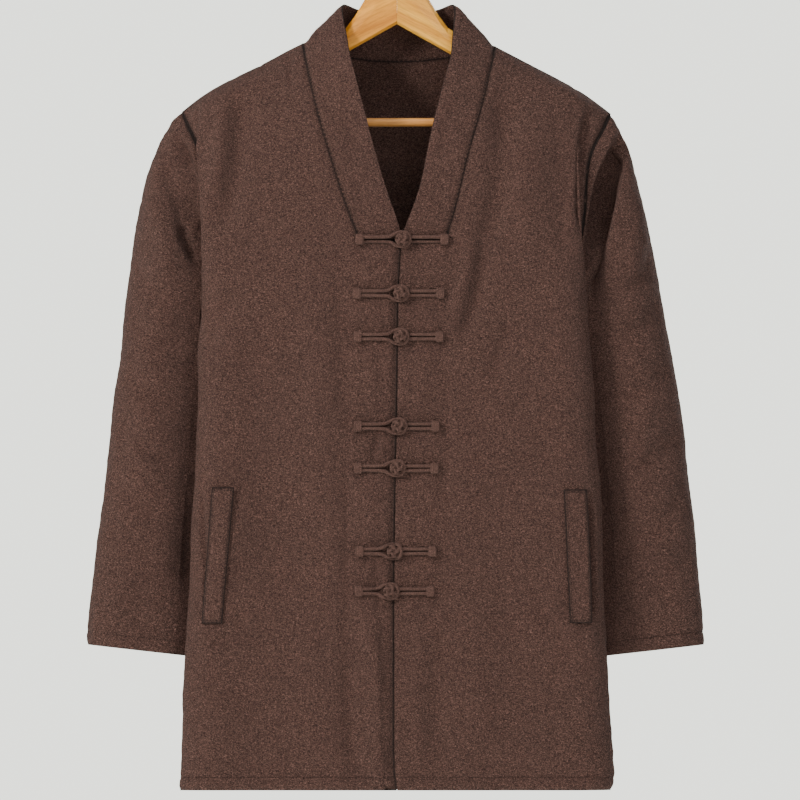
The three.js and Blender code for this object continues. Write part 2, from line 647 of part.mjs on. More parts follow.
// Collar band: stations from the right front's end, round the neck, to the left front's end
const bandStations = [];
for (let row = NOTCH_ROW; row <= topRow; row += 1) bandStations.push({ sideName: "right", row });
for (let column = neckColumn - 1; column >= 0; column -= 1) {
  bandStations.push({ sideName: "right", column });
}
for (let column = 1; column < neckColumn; column += 1) bandStations.push({ sideName: "left", column });
for (let row = topRow; row >= NOTCH_ROW; row -= 1) bandStations.push({ sideName: "left", row });
const BAND_SHARES = [0, 0.25, 0.5, 0.75, 1];
const bandGrid = bandStations.map(({ sideName, row, column }) => {
  const side = SIDES[sideName];
  const neck = side.neck;
  const atFront = row !== undefined;
  const seam = atFront ? fronts[sideName][row][BAND_COLUMN] : backs[sideName][topRow][column];
  let edge;
  if (atFront) {
    const i = row - NOTCH_ROW;
    edge = point(side.sign * neck.edge_out[i], neck.edge_y[i], neck.edge_z[i]);
  } else {
    const share = NECK_SHARES[column];
    const endOut = neck.edge_out[neck.edge_out.length - 1];
    const out = endOut * look(BACK_BAND_EDGE, "share", "out_share", share);
    edge = point(
      side.sign * out,
      look(BACK_BAND_EDGE, "share", "y", share),
      look(BACK_BAND_EDGE, "share", "z", share),
    );
  }
  return BAND_SHARES.map((share) => seam.clone().lerp(edge, share));
});

// Neck seam: the panels and the band are pulled apart, and share the way through their walls
const bandWays = new Map();
const neckCentre = point(0, 0, NECK_MIDDLE_Z);
bandStations.forEach(({ sideName, row, column }, station) => {
  const seam = bandGrid[station][0];
  const atFront = row !== undefined;
  const grid = atFront ? fronts[sideName] : backs[sideName];
  const before = atFront ? grid[row][BAND_COLUMN + 1] : grid[topRow - 1][column];
  const seams = bandGrid.map((stationPoints) => stationPoints[0]);
  const { way, across } = seamWay(
    neighbours(seams, station),
    before,
    bandGrid[station][1],
    neckCentre.clone().sub(seam),
  );
  const end = atFront && row === NOTCH_ROW;
  const atNeckPoint = row === topRow;
  const nearNeckPoint = atFront
    ? clamp(1 - (topRow - row) / NECK_POINT_ROWS)
    : NECK_POINT_BACK * clamp(column - neckColumn + 2);
  const through = end ? point(0, 1, 0) : way.lerp(shoulderWay(SIDES[sideName]), nearNeckPoint).normalize();
  bandWays.set(`${station},0`, through);
  bandStations[station].across = across;
  if (atFront) frontWays[sideName].set(`${row},${BAND_COLUMN}`, through);
  else backWays.set(backKey(sideName, topRow, column), through);
  if (atNeckPoint) backWays.set(backKey(sideName, topRow, neckColumn), through);
});
bandStations.forEach(({ sideName, row, column, across }, station) => {
  const atFront = row !== undefined;
  bandGrid[station][0] = bandGrid[station][0].clone().addScaledVector(across, half);
  const move = (grid, r, c) => {
    grid[r][c] = grid[r][c].clone().addScaledVector(across, -half);
  };
  if (atFront) move(fronts[sideName], row, BAND_COLUMN);
  else move(backs[sideName], topRow, column);
  if (!atFront && column === 0 && sideName === "right") backs.left[topRow][0] = backs.right[topRow][0];
  if (row === topRow) move(backs[sideName], topRow, neckColumn);
});
for (const sideName of ["right", "left"]) {
  const grid = fronts[sideName];
  for (let column = 0; column <= BAND_COLUMN; column += 1) {
    grid[NOTCH_ROW][column].z -= half;
    frontWays[sideName].set(`${NOTCH_ROW},${column}`, point(0, 1, 0));
  }
  const station = sideName === "right" ? 0 : bandStations.length - 1;
  bandGrid[station].forEach((p, column) => {
    p.z = BAND_END_Z + half;
    bandWays.set(`${station},${column}`, point(0, 1, 0));
  });
}

// Shoulder, armhole and side seams, and the sleeves
const armholes = {};
for (const sideName of ["right", "left"]) {
  const side = SIDES[sideName];
  const front = fronts[sideName];
  const back = backs[sideName];
  const tip = front[topRow][seamColumn].clone();
  const armpit = front[ARMPIT_ROW][seamColumn].clone();
  const loop = [];
  for (let row = topRow; row >= ARMPIT_ROW; row -= 1) loop.push({ row, grid: front, column: seamColumn });
  for (let row = ARMPIT_ROW + 1; row < topRow; row += 1) {
    loop.push({ row, grid: back, column: backSeamColumn });
  }
  const loopPoints = loop.map(({ row, grid, column }) => grid[row][column].clone());
  const fromArmpit = tip.clone().sub(armpit);
  const axis = point(0, 1, 0).cross(fromArmpit).normalize();
  if (axis.x * side.sign < 0) axis.negate();
  const ways = loopPoints.map((p, i) => {
    const next = loopPoints[(i + 1) % loopPoints.length];
    const previous = loopPoints[(i + loopPoints.length - 1) % loopPoints.length];
    const up = clamp((p.z - armpit.z) / (tip.z - armpit.z));
    const middle = armpit.clone().lerp(tip, up).setY(ARMHOLE_MIDDLE_Y);
    const inside = middle.sub(p);
    if (i === 0) inside.set(0, 0, -1);
    if (i === topRow - ARMPIT_ROW) return point(-side.sign * ARMPIT_LEAN, 0, 1).normalize();
    const way = next.clone().sub(previous).cross(axis).normalize();
    return way.dot(inside) < 0 ? way.negate() : way;
  });
  for (let column = BAND_COLUMN + 1; column < seamColumn; column += 1) {
    front[topRow][column].y -= half;
    frontWays[sideName].set(`${topRow},${column}`, shoulderWay(side));
  }
  front[topRow][BAND_COLUMN].y -= half;
  back[topRow][neckColumn].y += half;
  for (let column = neckColumn + 1; column < backSeamColumn; column += 1) {
    back[topRow][column].y += half;
    backWays.set(backKey(sideName, topRow, column), shoulderWay(side));
  }
  for (let row = 0; row < ARMPIT_ROW; row += 1) {
    const a = front[row][seamColumn - 1];
    const b = back[row][backSeamColumn - 1];
    const { way, across } = seamWay(point(0, 0, 1), a, b, point(-side.sign, 0, 0));
    front[row][seamColumn].addScaledVector(across, -half);
    back[row][backSeamColumn].addScaledVector(across, half);
    frontWays[sideName].set(`${row},${seamColumn}`, way);
    backWays.set(backKey(sideName, row, backSeamColumn), way);
  }
  loop.forEach(({ row, grid, column }, i) => {
    grid[row][column] = loopPoints[i].clone().addScaledVector(axis, -half);
    if (grid === front) frontWays[sideName].set(`${row},${column}`, ways[i]);
    else backWays.set(backKey(sideName, row, column), ways[i]);
  });
  for (const [row, way] of [[topRow, ways[0]], [ARMPIT_ROW, ways[topRow - ARMPIT_ROW]]]) {
    back[row][backSeamColumn] = front[row][seamColumn].clone();
    front[row][seamColumn].y -= half;
    back[row][backSeamColumn].y += half;
    backWays.set(backKey(sideName, row, backSeamColumn), way);
  }
  armholes[sideName] = { loopPoints, ways, axis };
}

function sleeve(sideName) {
  const side = SIDES[sideName];
  const { loopPoints, ways, axis } = armholes[sideName];
  const frontCount = topRow - ARMPIT_ROW;
  const lengths = [0];
  for (let i = 1; i <= loopPoints.length; i += 1) {
    lengths.push(lengths[i - 1] + loopPoints[i % loopPoints.length].distanceTo(loopPoints[i - 1]));
  }
  const frontLength = lengths[frontCount];
  const angles = loopPoints.map((_, i) =>
    i <= frontCount
      ? (Math.PI * lengths[i]) / frontLength
      : Math.PI * (1 + (lengths[i] - frontLength) / (lengths[loopPoints.length] - frontLength)),
  );
  const rounded = (value) => Math.sign(value) * Math.abs(value) ** (2 / SLEEVE_SQUARENESS);
  const ringPoint = (ring, angle) => {
    const outerZ = SLEEVE_RINGS.outer_z[ring];
    const innerZ = SLEEVE_RINGS.inner_z[ring];
    const outerOut = look(side.sleeve, "z", "out", outerZ);
    const innerOut = rollOut(side, innerZ) - look(SLEEVE_INNER, "z", "in_from_roll", innerZ);
    const along = rounded(Math.cos(angle));
    const across = rounded(Math.sin(angle));
    const frontEdge = look(SLEEVE_DEPTH, "z", "front_y", outerZ);
    const backEdge = look(SLEEVE_DEPTH, "z", "back_y", outerZ);
    return point(
      side.sign * mix(innerOut, outerOut, (1 + along) / 2),
      mix(frontEdge, backEdge, (1 - across) / 2),
      mix(innerZ, outerZ, (1 + along) / 2),
    );
  };
  const valley = SLEEVE_VALLEY[sideName];
  const degrees = (angle) => (angle * 180) / Math.PI;
  const rings = SLEEVE_RINGS.outer_z.map((_, ring) =>
    loopPoints.map((p, i) => {
      if (ring === 0) return p.clone().addScaledVector(axis, half);
      const lead = p.clone().sub(ringPoint(0, angles[i]));
      const made = ringPoint(ring, angles[i]).addScaledVector(lead, 1 - ease(ring / ARMHOLE_FADE));
      const turn = degrees(angles[i]);
      const rise = ease((turn - VALLEY_WINDOW.start) / VALLEY_WINDOW.rise);
      const window = rise * ease((VALLEY_WINDOW.end - turn) / VALLEY_WINDOW.fall);
      const out = Math.abs(made.x);
      const clearance = SLEEVE_CLEARANCE * clamp(ring / CLEARANCE_RINGS);
      const over = made.y - behindRollY(side, out, made.z) - clearance;
      const held = made.y - over + (over + Math.hypot(over, clearance)) / 2;
      const onFront = clamp(Math.sin(angles[i]) * FRONT_HALF_FADE + 1);
      const behind = onFront * (1 - ease((out - rollOut(side, made.z)) / BEHIND_ROLL_FADE));
      made.y = mix(made.y, held, behind);
      made.y += valley.depth * window * Math.exp(-(((ring - valley.ring) / valley.width) ** 2));
      return made;
    }),
  );
  const ringWays = new Map(ways.map((way, i) => [`0,${i}`, way]));
  return clothWall(`sleeve_${sideName}`, rings, {
    wrap: true,
    probe: [rings.length - 4, 0],
    outside: [side.sign, 0, 0],
    ways: ringWays,
  });
}

coat.add(clothWall("front_right", fronts.right, { probe: [2, 3], outside: [0, -1, 0], ways: frontWays.right }));
coat.add(clothWall("front_left", fronts.left, { probe: [2, 3], outside: [0, -1, 0], ways: frontWays.left }));
const backGrid = backs.right.map((row, r) => row.slice().reverse().concat(backs.left[r].slice(1)));
coat.add(clothWall("back", backGrid, { probe: [2, backSeamColumn], outside: [0, 1, 0], ways: backWays }));
coat.add(sleeve("right"), sleeve("left"));
coat.add(clothWall("collar_band", bandGrid, { probe: [1, 1], outside: [0, -1, 0], ways: bandWays }));

// Pocket welts, laid on the front panels
function welt(sideName) {
  const side = SIDES[sideName];
  const table = WELTS[sideName];
  const rows = WELT_ROWS;
  const columns = WELT_COLUMNS;
  const ways = new Map();
  const grid = [];
  for (let r = 0; r <= rows; r += 1) {
    const z = mix(table.top_z, table.low_z, r / rows);
    const inner = mix(table.top_in, table.low_in, r / rows);
    const outer = mix(table.top_out, table.low_out, r / rows);
    const line = [];
    for (let c = 0; c <= columns; c += 1) {
      const out = mix(inner, outer, c / columns);
      const step = WELT_NORMAL_STEP;
      const slope = (frontY(sideName, out + step, z) - frontY(sideName, out - step, z)) / (2 * step);
      const normal = point(side.sign * slope, -1, 0).normalize();
      const lift = table.lift * (c / columns) ** 2 * Math.sin((Math.PI * (r + 1)) / (rows + 2));
      const base = point(side.sign * out, frontY(sideName, out, z), z);
      line.push(base.addScaledVector(normal, WELT_GAP + WELT_THICKNESS + lift));
      ways.set(`${r},${c}`, normal.negate());
    }
    grid.push(line);
  }
  return clothWall(`pocket_welt_${sideName}`, grid, {
    thickness: WELT_THICKNESS,
    probe: [1, 1],
    outside: [0, -1, 0],
    ways,
  });
}
coat.add(welt("right"), welt("left"));

// A round cord or wire along a curve, with closed ends
function cord(curve, radius, sides, steps) {
  const corners = [];
  for (let side = 0; side < sides; side += 1) {
    const angle = (2 * Math.PI * side) / sides;
    corners.push(new THREE.Vector2(radius * Math.cos(angle), radius * Math.sin(angle)));
  }
  return solidOf(new THREE.ExtrudeGeometry(new THREE.Shape(corners), { steps, extrudePath: curve }));
}
const smoothCurve = (points) => new THREE.CatmullRomCurve3(points, false, "centripetal");

// Frogs
function frogPoint(x, z, lift) {
  const sideName = x < look(OPENING, "z", "x", z) ? "right" : "left";
  const out = SIDES[sideName].sign * x;
  return point(x, frontY(sideName, out, z) - lift, z);
}
function binding(x, z) {
  const at = frogPoint(x, z, BINDING.lift + BINDING.thickness / 2);
  const bevel = BINDING.bevel;
  const wide = BINDING.length / 2 - bevel;
  const high = BINDING.height / 2 - bevel;
  const outline = new THREE.Shape([
    new THREE.Vector2(-wide, -high),
    new THREE.Vector2(wide, -high),
    new THREE.Vector2(wide, high),
    new THREE.Vector2(-wide, high),
  ]);
  const depth = BINDING.thickness - 2 * bevel;
  const block = new THREE.ExtrudeGeometry(outline, {
    depth,
    bevelThickness: bevel,
    bevelSize: bevel,
    bevelSegments: 1,
  });
  return solidOf(block.translate(0, 0, -depth / 2).rotateX(Math.PI / 2).translate(at.x, at.y, at.z));
}
FROGS.z.forEach((z, i) => {
  const knotX = FROGS.knot_x[i];
  const loopEnd = FROGS.loop_end_x[i] + BINDING.length / 2;
  const knotEnd = FROGS.knot_end_x[i] - BINDING.length / 2;
  const start = frogPoint(loopEnd, z + CORD_SPREAD, CORD_LIFT);
  const end = frogPoint(loopEnd, z - CORD_SPREAD, CORD_LIFT);
  const halfLoop = (upDown) =>
    LOOP_HALF.x.map((x, at) => frogPoint(knotX + x, z + upDown * LOOP_HALF.rise[at], LOOP_HALF.lift[at]));
  const loopCorners = [start, ...halfLoop(1), ...halfLoop(-1).slice(0, -1).reverse(), end];
  const loop = cord(smoothCurve(loopCorners), CORD_RADIUS, CORD_SIDES, LOOP_STEPS).add(binding(loopEnd, z));
  coat.add(meshOfSolid(`frog_loop_${i + 1}`, loop, CORD_LOOK));

  const middle = frogPoint(knotX, z, KNOT_LIFT);
  const ball = new THREE.IcosahedronGeometry(KNOT_RADIUS, 1).translate(middle.x, middle.y, middle.z);
  let knot = solidOf(ball).add(binding(knotEnd, z));
  for (const upDown of [1, -1]) {
    const corners = KNOT_CORD.x.map((x, at) =>
      frogPoint(knotX + x, z + upDown * KNOT_CORD.rise[at], KNOT_CORD.lift[at]),
    );
    corners.push(frogPoint(knotEnd, z + upDown * CORD_SPREAD, CORD_LIFT));
    knot = knot.add(cord(smoothCurve(corners), CORD_RADIUS, CORD_SIDES, KNOT_CORD_STEPS));
  }
  coat.add(meshOfSolid(`frog_knot_${i + 1}`, knot, CORD_LOOK));
});

// Hanger
function hangerArm(sideName) {
  const side = SIDES[sideName];
  const neckOut = side.neck.seam_out[side.neck.seam_out.length - 1];
  const slope = (straightShoulderZ(side, neckOut) - straightShoulderZ(side, neckOut + 100)) / 100;
  const drop = (CLOTH + ARM_CLEARANCE) * Math.hypot(1, slope);
  const lastTop = ARM_TABLE.out[ARM_TABLE.out.length - 1];
  const points = [];
  const triangles = [];
  const sectionSize = 2 * (ARM_UPPER.share.length + ARM_LOWER.share.length);
  ARM_STATIONS.forEach((out, station) => {
    const lineTop = straightShoulderZ(side, out) - drop;
    const tip = station === ARM_STATIONS.length - 1 ? ARM_TIP_DROP : 0;
    const top = (out <= lastTop ? look(ARM_TABLE, "out", "top", out) : lineTop) - tip;
    const low = look(ARM_TABLE, "out_low", "low", out);
    const thick = ARM_HALF_THICKNESS - tip / 2;
    const upper = ARM_UPPER.share.map((share, i) => [thick * share, top - ARM_UPPER.down[i]]);
    const lower = ARM_LOWER.share.map((share, i) => [thick * share, low + ARM_LOWER.up[i]]);
    const halfSection = [...upper, [thick, mix(top, low, 0.5)], ...lower];
    const mirrored = halfSection.slice(1, -1).reverse().map(([y, z]) => [-y, z]);
    for (const [y, z] of halfSection.concat(mirrored)) points.push(point(side.sign * out, y, z));
    if (station === 0) return;
    for (let s = 0; s < sectionSize; s += 1) {
      const here = station * sectionSize + s;
      const next = station * sectionSize + ((s + 1) % sectionSize);
      triangles.push([here - sectionSize, next - sectionSize, next], [here - sectionSize, next, here]);
    }
  });
  const lastSection = (ARM_STATIONS.length - 1) * sectionSize;
  for (let s = 1; s + 1 < sectionSize; s += 1) {
    triangles.push([0, s + 1, s], [lastSection, lastSection + s, lastSection + s + 1]);
  }
  const arm = solidOf(geometryFrom(points, triangles));
  const barHole = new THREE.CylinderGeometry(
    BAR_RADIUS + SEAM_GAP,
    BAR_RADIUS + SEAM_GAP,
    2 * (BAR_HALF_LENGTH + SEAM_GAP),
    BAR_SIDES,
  )
    .rotateZ(Math.PI / 2)
    .translate(0, 0, BAR_Z);
  const hookHole = new THREE.CylinderGeometry(
    HOOK_WIRE_RADIUS + SEAM_GAP,
    HOOK_WIRE_RADIUS + SEAM_GAP,
    HOOK_HOLE_DEPTH,
    HOLE_SIDES,
  )
    .rotateX(Math.PI / 2)
    .translate(0, 0, HOOK_STEM.z[0] - SEAM_GAP + HOOK_HOLE_DEPTH / 2);
  const drilled = arm.subtract(solidOf(barHole)).subtract(solidOf(hookHole));
  return meshOfSolid(`hanger_arm_${sideName}`, drilled, WOOD_LOOK);
}
hanger.add(hangerArm("right"), hangerArm("left"));
const bar = new THREE.CylinderGeometry(BAR_RADIUS, BAR_RADIUS, 2 * BAR_HALF_LENGTH, BAR_SIDES)
  .rotateZ(Math.PI / 2)
  .translate(0, 0, BAR_Z);
hanger.add(meshOfSolid("hanger_bar", solidOf(bar), WOOD_LOOK));

const hookReach = HOOK_INSIDE_RADIUS + HOOK_WIRE_RADIUS;
const hookPath = HOOK_STEM.z.map((z, i) => point(HOOK_STEM.x[i], 0, z));
for (let angle = HOOK_START; angle <= HOOK_END; angle += HOOK_STEP) {
  const turn = THREE.MathUtils.degToRad(angle);
  hookPath.push(point(hookReach * Math.cos(turn), 0, -HOOK_INSIDE_RADIUS + hookReach * Math.sin(turn)));
}
const hook = cord(smoothCurve(hookPath), HOOK_WIRE_RADIUS, HOOK_SIDES, HOOK_STEPS);
hanger.add(meshOfSolid("hanger_hook", hook, STEEL_LOOK));

export default group;
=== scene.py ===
"""A padded coat with seven knotted frogs, hung on a wooden hanger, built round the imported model."""

import math

import bmesh
import bpy
import numpy as np
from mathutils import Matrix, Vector, noise
from mathutils.bvhtree import BVHTree
from mathutils.kdtree import KDTree


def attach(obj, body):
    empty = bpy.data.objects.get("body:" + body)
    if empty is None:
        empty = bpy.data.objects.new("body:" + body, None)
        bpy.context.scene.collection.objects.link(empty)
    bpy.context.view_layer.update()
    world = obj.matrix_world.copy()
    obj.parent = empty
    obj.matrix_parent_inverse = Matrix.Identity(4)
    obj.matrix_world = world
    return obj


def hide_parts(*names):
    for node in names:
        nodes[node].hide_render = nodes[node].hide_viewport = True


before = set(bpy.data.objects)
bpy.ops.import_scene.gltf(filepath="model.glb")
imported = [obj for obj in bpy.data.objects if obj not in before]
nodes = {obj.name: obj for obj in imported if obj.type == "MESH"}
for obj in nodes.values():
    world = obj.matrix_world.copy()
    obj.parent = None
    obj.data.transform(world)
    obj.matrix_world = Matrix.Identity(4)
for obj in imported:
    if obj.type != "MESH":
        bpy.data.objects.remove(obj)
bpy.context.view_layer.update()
MM = 0.001

# Camera: level, from the front, with a long lens
VIEW_CENTRE = Vector((0.0034, -0.06, -0.562))
VIEW_WIDTH = 0.896
CAMERA_DISTANCE = 40.0
CAMERA_REACH = 200
SENSOR = 36.0

# Cloth: the wall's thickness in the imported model, and what the seams and free edges do
WALL = {"coat": 4 * MM, "welt": 3 * MM}
MATCH = 1e-6  # how closely the two sides of a wall keep its thickness
CORNER_TURN = math.radians(33)  # an edge that turns more than this keeps its corner
COLLAR_TOP = -140 * MM  # the band's corners above this are round
THROUGH_ROUNDS = 4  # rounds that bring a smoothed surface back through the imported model's points
SEAM_FOUND = 1.0 * MM  # edges of two pieces nearer than this are sewn together
SEAM_DITCH = {"depth": 2.5 * MM, "reach": 3.2 * MM}  # how the cloth sinks at a seam
SEAM_SWELL = {"depth": 1.0 * MM, "reach": 9 * MM}
# Where the cloth looks up, seams sink less
SEAM_LEVEL = {"full": 0.85, "gain": 2.5, "least": 0.1}
FREE_DITCH = {"depth": 1.0 * MM, "reach": 3.0 * MM}
# A welt's edge sinks, and its shade is painted shade along that edge
WELT_DITCH = {"depth": 0.9 * MM, "reach": 2.2 * MM, "shade": 0.95}
OPENING_DITCH = {"front_right": 4.0 * MM, "front_left": 0.8 * MM, "reach": 5 * MM, "half": 14 * MM}
OPENING_SHADE = {"front_right": 0.9, "front_left": 0.0}  # how dark the painted shadow at the edge of the opening is
SEAM_SHADE = 1.7 * MM  # painted shade darkens a seam this far from its edge
# Section of an edge: shares of the thickness, and how far each stands out there
RIM_ROUND = {"share": [0.2, 0.5, 0.8], "out": [0.8, 1.0, 0.8]}
RIM_OUT = 0.35 * MM
RIM_NEAR = 0.1 * MM  # points nearer to an edge than this belong to it
RIM_FOLLOWS = 0.4  # share of a seam's depth by which the inner side meets it
# Small waves across a seam, which are lower on the small pieces
PUCKER = {"size": 9 * MM, "height": 0.9 * MM, "reach": 15 * MM, "clear": 2.5 * MM, "small": 0.35}
HEM_STITCH = {"inset": 14.5 * MM, "groove": 1.1 * MM, "half": 2.2 * MM, "pucker": 0.9 * MM, "spread": 9 * MM}
WELT_STITCH_INSET = 3 * MM
HEM_TOP = -985 * MM  # a free edge lower than this is the hem
CUFF_TOP = -815 * MM  # a free edge of a sleeve lower than this is the cuff
FOLD_DEPTH = 1.7  # all folds in the tables are deepened by this
FOLD_OVERRUN = 0.12  # share of its length by which a fold fades out beyond its ends
FOLD_FREE = 14 * MM  # folds are full this far from an edge
FACING = {"gain": 2.4, "start": 0.3}  # how folds fade where the cloth turns to the side
CRINKLE = {"size": 10 * MM, "height": 0.7 * MM}
SWELL = {"size": 70 * MM, "height": 2.2 * MM}

# How the padding lifts the shoulders and widens the sleeves, in millimetres: the same for every piece, so
# that seams stay closed
SHOULDER_LIFT = {
    "x": [
        -252, -234, -214, -187, -169, -151, -115, -97, -62, -40,
        40, 60, 80, 95, 122, 149, 176, 203, 221, 236, 262,
    ],
    "rise": [
        0, 4.4, 8.0, 8.4, 6.4, 5.2, 5.0, 3.4, 3.0, 1.5,
        1.5, 2.0, 1.0, 0.5, 1.8, 4.0, 6.4, 8.2, 6.4, 3.6, 0,
    ],
    "from": -330,
    "full": -220,
}
SLEEVE_WIDENING = {"right": 1.3, "left": 2.3, "from": 180, "reach": 100}

# Soft folds as seen from the front, in millimetres: x and z of the start, x and z of the end, how far the
# line bows to the side, half width, and rise (a trough is below zero)
FOLDS = {
    "front_right": [
        (-176, -224, -198, -372, 8, 13, -5), (-196, -236, -206, -330, 4, 9, 2.5),
        (-121, -180, -119, -214, 0, 4, -1.6), (-150, -470, -128, -800, -12, 30, -3),
        (-96, -430, -84, -640, 6, 18, 2.2), (-62, -400, -58, -590, -4, 8, -1.3),
        (-60, -620, -57, -860, 3, 9, -1.5), (-22, -600, -30, -630, 2, 4, -2.4),
        (-14, -604, -19, -630, 0, 4, 1.5), (-24, -742, -22, -800, 1, 4, -1.8),
        (-54, -378, -60, -986, 1, 2.6, -0.6), (-219, -664, -212, -812, 1, 3, -1.8),
        (-31, -800, -21, -990, 5, 11, 3.4), (-52, -850, -44, -995, -5, 10, -3.2),
        (-12, -790, -14, -960, 0, 7, -1.6), (-213, -838, -168, -812, -3, 7, -2.2),
        (-205, -870, -150, -930, 8, 16, -1.8), (-182, -446, -212, -506, -4, 10, -2),
        (-36, -402, -28, -432, 0, 6, 1.2), (-34, -505, -30, -578, 2, 8, 1.6),
        (-30, -655, -30, -718, 2, 8, 1.4),
    ],
    "front_left": [
        (122, -216, 98, -396, 7, 15, -4.6), (98, -392, 72, -494, 5, 9, -3.8),
        (84, -372, 62, -470, 4, 9, 2.4), (126, -470, 104, -540, 3, 10, -2.4),
        (150, -236, 142, -420, 5, 20, 2.4), (186, -270, 190, -400, -4, 12, -2),
        (216, -236, 207, -372, -5, 4.5, -3.4), (54, -500, 50, -780, 3, 9, -1.4),
        (130, -560, 176, -640, 8, 18, -1.8), (92, -700, 84, -980, 8, 26, 2.4),
        (150, -760, 186, -836, -5, 9, -1.8), (52, -820, 44, -990, -4, 12, -1.8),
        (200, -838, 166, -880, 3, 9, -1.5), (24, -800, 20, -985, 2, 10, 1.6),
        (214, -670, 219, -808, -2, 3.4, -3.4), (221, -676, 225, -800, -1, 3.2, 1.6),
        (30, -505, 26, -578, -2, 8, 1.3),
    ],
    "back": [
        (-30, -260, -62, -560, -9, 22, -3.4), (34, -300, 70, -640, 11, 26, -3),
        (-140, -250, -172, -420, 7, 14, -4.2), (146, -262, 168, -404, -6, 16, -3.6),
        (-118, -620, -132, -990, 10, 28, -3.8), (92, -700, 112, -992, -8, 24, -3.4),
        (-22, -780, -14, -996, 5, 22, -2.6), (-160, -500, -96, -560, -10, 15, -2.6),
        (162, -520, 110, -604, 9, 14, -2.8), (2, -192, -4, -330, 2, 30, 1.8),
        (-84, -830, -70, -960, -4, 14, 1.8),
    ],
    "sleeve_right": [
        (-222, -360, -226, -820, 0, 30, -7.5), (-243, -268, -226, -356, 2, 7, -6),
        (-236, -300, -223, -372, 1, 5, 3.4), (-240, -366, -220, -404, -2, 7, -6.5),
        (-228, -350, -216, -376, 0, 6, -4), (-300, -470, -240, -500, -6, 13, -2.6),
        (-306, -526, -244, -570, -7, 12, -3.2), (-312, -580, -252, -638, -8, 14, -2.8),
        (-320, -648, -262, -690, -6, 12, -2.4), (-300, -602, -262, -652, -4, 9, 2.4),
        (-328, -716, -268, -742, 5, 14, -2), (-276, -330, -256, -424, 6, 13, 3),
        (-262, -300, -240, -372, 7, 12, -3), (-300, -400, -262, -452, -5, 12, -2.6),
        (-290, -770, -286, -834, 2, 10, -1.2),
    ],
    "sleeve_left": [
        (212, -400, 230, -820, 0, 27, -7.5), (256, -266, 220, -430, -11, 9, -11.5),
        (246, -258, 211, -404, -12, 4, 3.2), (238, -296, 216, -456, -2, 10, -5.2),
        (298, -452, 244, -500, 6, 13, -2.6), (304, -524, 250, -566, 6, 14, -2.6),
        (316, -600, 262, -640, 7, 13, -2.8), (320, -668, 272, -716, 5, 12, -2.2),
        (282, -560, 270, -640, -4, 10, 2.2), (330, -742, 276, -770, -4, 13, -2),
        (264, -330, 262, -430, 5, 12, 2.4), (292, -392, 252, -446, 5, 11, -2.4),
        (300, -780, 304, -830, 2, 10, -1),
    ],
    "collar_band": [
        (-60, -240, -44, -300, 1, 9, -0.9), (62, -230, 48, -290, -1, 9, -0.8),
        (-82, -176, -74, -200, 1, 8, -0.9),
    ],
}
# Folds of the sleeves' hidden sides, which are like those in front but lie elsewhere
BEHIND = {
    "sleeve_right": [
        (-300, -440, -226, -500, 9, 15, -3.6), (-310, -520, -232, -556, -6, 13, -3.2),
        (-314, -604, -240, -640, 7, 16, -3), (-322, -690, -256, -716, -5, 12, -2.4),
        (-280, -320, -252, -410, 6, 15, 2.6),
    ],
    "sleeve_left": [
        (296, -430, 224, -492, -8, 15, -3.4), (306, -536, 236, -560, 6, 12, -2.8),
        (318, -590, 242, -650, -9, 16, -3.2), (326, -706, 262, -724, 5, 13, -2.2),
        (270, -330, 250, -420, -6, 14, 2.4),
    ],
}

# Frogs, as in the model: heights, and x of the knot and of the two wrapped ends
FROGS = {
    "z": [-381.9, -442.4, -491.1, -591.4, -638.4, -731.4, -776.2],
    "knot_x": [5.6, 3.4, 3.4, 1.1, -0.6, -3.9, -7.8],
    "loop_end_x": [-46.6, -49.5, -48.8, -48.5, -48.3, -46.5, -47.3],
    "knot_end_x": [58, 53.4, 52.4, 47.9, 46.9, 44.5, 42.3],
    "turn": [20, -35, 60, 5, -15, 80, 40],  # how far each ball is turned, in degrees
}
FRONT_Y = -62 * MM  # the front beside its edges
CORD_RADIUS = 2.2
CORD_SPREAD = 2.5
CORD_LIFT = 2.0
# Upper half of a loop: x from the knot, rise off the middle line, and lift off the cloth
LOOP_HALF = {
    "x": [-26, -14, -7.5, 0, 6.2, 8.8],
    "rise": [CORD_SPREAD, 3.3, 6.4, 8.0, 6.4, 0],
    "lift": [CORD_LIFT, CORD_LIFT, 2.9, 3.8, 4.8, 5.2],
}
KNOT = {"lift": 7.6, "across": 5.3, "strand": 1.8, "weave": 1.1, "tilt": 0.92, "turns": 3, "waves": 4}
KNOT_CORE = {"half": 3.6, "radius": 3.4, "steps": 12}
# A knot's tails: x from its middle, distance from the frog's middle line, and lift off the cloth
TAIL = [(1, 2.2, CORD_LIFT + 1), (8, CORD_SPREAD, CORD_LIFT), (22, CORD_SPREAD, CORD_LIFT)]
BINDING = {"length": 9.5, "height": 12.6, "thickness": 6.2, "wraps": 4, "wrap_depth": 0.045, "sink": 0.42}
BINDING_DENT = {"depth": 0.16, "half": 1.8}
# A frog is darkened by painted shade this near to the cloth, in millimetres
FLANK_SHADE = {"full": 1.7, "none": 3.4, "most": 0.75}

# Noise scales of the cloth's crinkle, threads and tone
GRAIN = {"warp": 260, "cells": 720, "crinkle": 860, "threads": 1500, "patches": 16, "streaks": 60}
WARP_REACH = 3 * MM


# Materials
def new_material(name):
    material = bpy.data.materials.new(name)
    material.use_nodes = True
    tree = material.node_tree
    return material, tree, tree.nodes["Principled BSDF"]


def add(tree, kind, **settings):
    node = tree.nodes.new(kind)
    for key, value in settings.items():
        setattr(node, key, value)
    return node


def noise_at(tree, vector, scale, detail=3.0, roughness=0.55, distortion=0.0):
    node = add(tree, "ShaderNodeTexNoise")
    node.inputs["Scale"].default_value = scale
    node.inputs["Detail"].default_value = detail
    node.inputs["Roughness"].default_value = roughness
    node.inputs["Distortion"].default_value = distortion
    tree.links.new(vector, node.inputs["Vector"])
    return node.outputs["Fac"]


